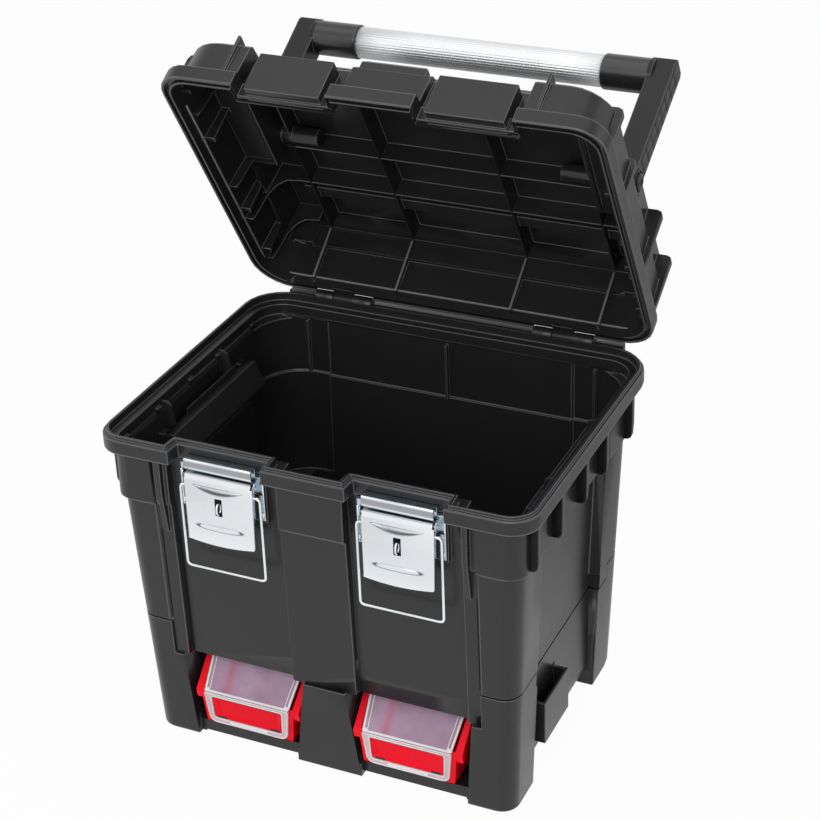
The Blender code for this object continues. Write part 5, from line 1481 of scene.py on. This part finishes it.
@dataclass
class Studio:
    """Camera, floor, backdrop light and lamps; places and sizes in metres, power in watts."""

    position: tuple = (0.78546, -1.59601 - CENTRE_Y * MM, 1.31472)
    azimuth: float = 25.349
    elevation: float = 28.993
    roll: float = -2.166
    focal_px: float = 2058.07
    frame_px: float = 820.0
    sensor: float = 36.0
    ambient: float = 0.42
    overhead: float = 0.72
    far_floor: float = 0.48
    floor_glow: float = 0.96
    floor_half: float = 9.0
    floor_z: float = -0.0004
    aim: tuple = (0.0, 0.0, 0.3)
    lamps: tuple = (
        ("top_box", (0.1, -0.2, 2.6), 2.6, 14.0),
        ("front_box", (0.5, -2.9, 2.0), 2.2, 40.0),
        ("left_box", (-2.2, -1.2, 1.5), 1.8, 10.0),
        ("right_box", (2.3, 0.5, 1.3), 1.6, 7.0),
    )

    def build(self) -> None:
        """Set up everything around the object."""
        self.camera()
        self.world()
        self.floor()
        for lamp in self.lamps:
            self.lamp(*lamp)
        bpy.context.scene.view_settings.view_transform = "Standard"

    def camera(self) -> None:
        """Camera at the solved place: it looks along its azimuth and elevation and is rolled about its axis."""
        a, e, r = (math.radians(v) for v in (self.azimuth, self.elevation, self.roll))
        back = Vector((math.sin(a) * math.cos(e), -math.cos(a) * math.cos(e), math.sin(e)))
        right = (-back).cross(Vector((0.0, 0.0, 1.0))).normalized()
        up = right.cross(-back)
        x_axis = right * math.cos(r) + up * math.sin(r)
        y_axis = -right * math.sin(r) + up * math.cos(r)
        data = bpy.data.cameras.new("photo_camera")
        data.sensor_width = self.sensor
        data.lens = self.focal_px / self.frame_px * self.sensor
        data.clip_end = 50.0
        made = linked("photo_camera", data)
        turn = Matrix((x_axis, y_axis, back)).transposed().to_4x4()
        made.matrix_world = Matrix.Translation(self.position) @ turn
        bpy.context.scene.camera = made

    @staticmethod
    def seen(wire: Wiring) -> Socket:
        """1 for camera, glossy and transmission rays, which see the white backdrop, and 0 for the rest."""
        path = wire.node("ShaderNodeLightPath").outputs
        shiny = wire.maths("MAXIMUM", path["Is Glossy Ray"], path["Is Transmission Ray"])
        return wire.maths("MAXIMUM", path["Is Camera Ray"], shiny)

    def world(self) -> None:
        """White backdrop for seen rays, a little darker overhead in reflections, and a weaker even light."""
        made = bpy.data.worlds.new("white_studio")
        made.use_nodes = True
        bpy.context.scene.world = made
        wire = Wiring(made.node_tree)
        direction = wire.node("ShaderNodeTexCoord").outputs["Generated"]
        height = wire.node("ShaderNodeSeparateXYZ", {0: direction}).outputs["Z"]
        path = wire.node("ShaderNodeLightPath").outputs
        clear = wire.maths("MAXIMUM", path["Is Camera Ray"], path["Is Transmission Ray"])
        shiny = wire.maths("MULTIPLY", path["Is Glossy Ray"], wire.ramp(height, 0.05, 0.7, 1.0, self.overhead))
        strength = wire.maths("MAXIMUM", wire.maths("MAXIMUM", clear, shiny), self.ambient)
        wire.feed(wire.tree.nodes["Background"], {"Color": (1.0, 1.0, 1.0, 1.0), "Strength": strength})

    def floor(self) -> None:
        """Pale floor: white to seen rays with a faint shadow, plain matt white to the rest.

        In reflections it is darker behind the object, where the room is.
        """
        corners = np.array([(-1, -1), (1, -1), (1, 1), (-1, 1)]) * self.floor_half
        verts = np.column_stack([corners, [self.floor_z] * 4]) / MM
        made = mesh_object("floor", verts, np.array([[0, 1, 2, 3]]))
        material, wire, shader = blank_material("pale_floor")
        vector = wire.place()
        tone = wire.mix(wire.noise(vector, 3.0, 3.0), [0.80] * 3, [0.82] * 3)
        wire.feed(shader, {"Base Color": tone, "Roughness": 0.9})
        behind = wire.node("ShaderNodeSeparateXYZ", {0: vector}).outputs["Y"]
        fade = wire.ramp(behind, -0.15, 0.3, 1.0, self.far_floor)
        shiny = wire.node("ShaderNodeLightPath").outputs["Is Glossy Ray"]
        level = wire.maths("ADD", wire.maths("MULTIPLY", shiny, wire.maths("SUBTRACT", fade, 1.0)), 1.0)
        glow = wire.node("ShaderNodeEmission", {"Strength": level})
        share = wire.maths("MULTIPLY", self.seen(wire), self.floor_glow)
        mixed = wire.node("ShaderNodeMixShader", {0: share, 1: shader.outputs[0], 2: glow.outputs[0]})
        wire.feed(wire.tree.nodes["Material Output"], {"Surface": mixed.outputs[0]})
        made.data.materials.append(material)

    def lamp(self, name: str, place: tuple, size: float, power: float) -> None:
        """A square soft box that faces the object."""
        data = bpy.data.lights.new(name, "AREA")
        data.size = size
        data.energy = power
        made = linked(name, data)
        made.location = place
        made.rotation_euler = (Vector(self.aim) - Vector(place)).to_track_quat("-Z", "Y").to_euler()


def main() -> None:
    """Build the stage and every sub-assembly in order."""
    logging.basicConfig(level=logging.INFO)
    for part in (Studio(), Mouldings(), Handle(), Latch(), Bins(), SmallMetal()):
        part.build()
        LOG.info("built %s", type(part).__name__)


if __name__ == "__main__":
    main()
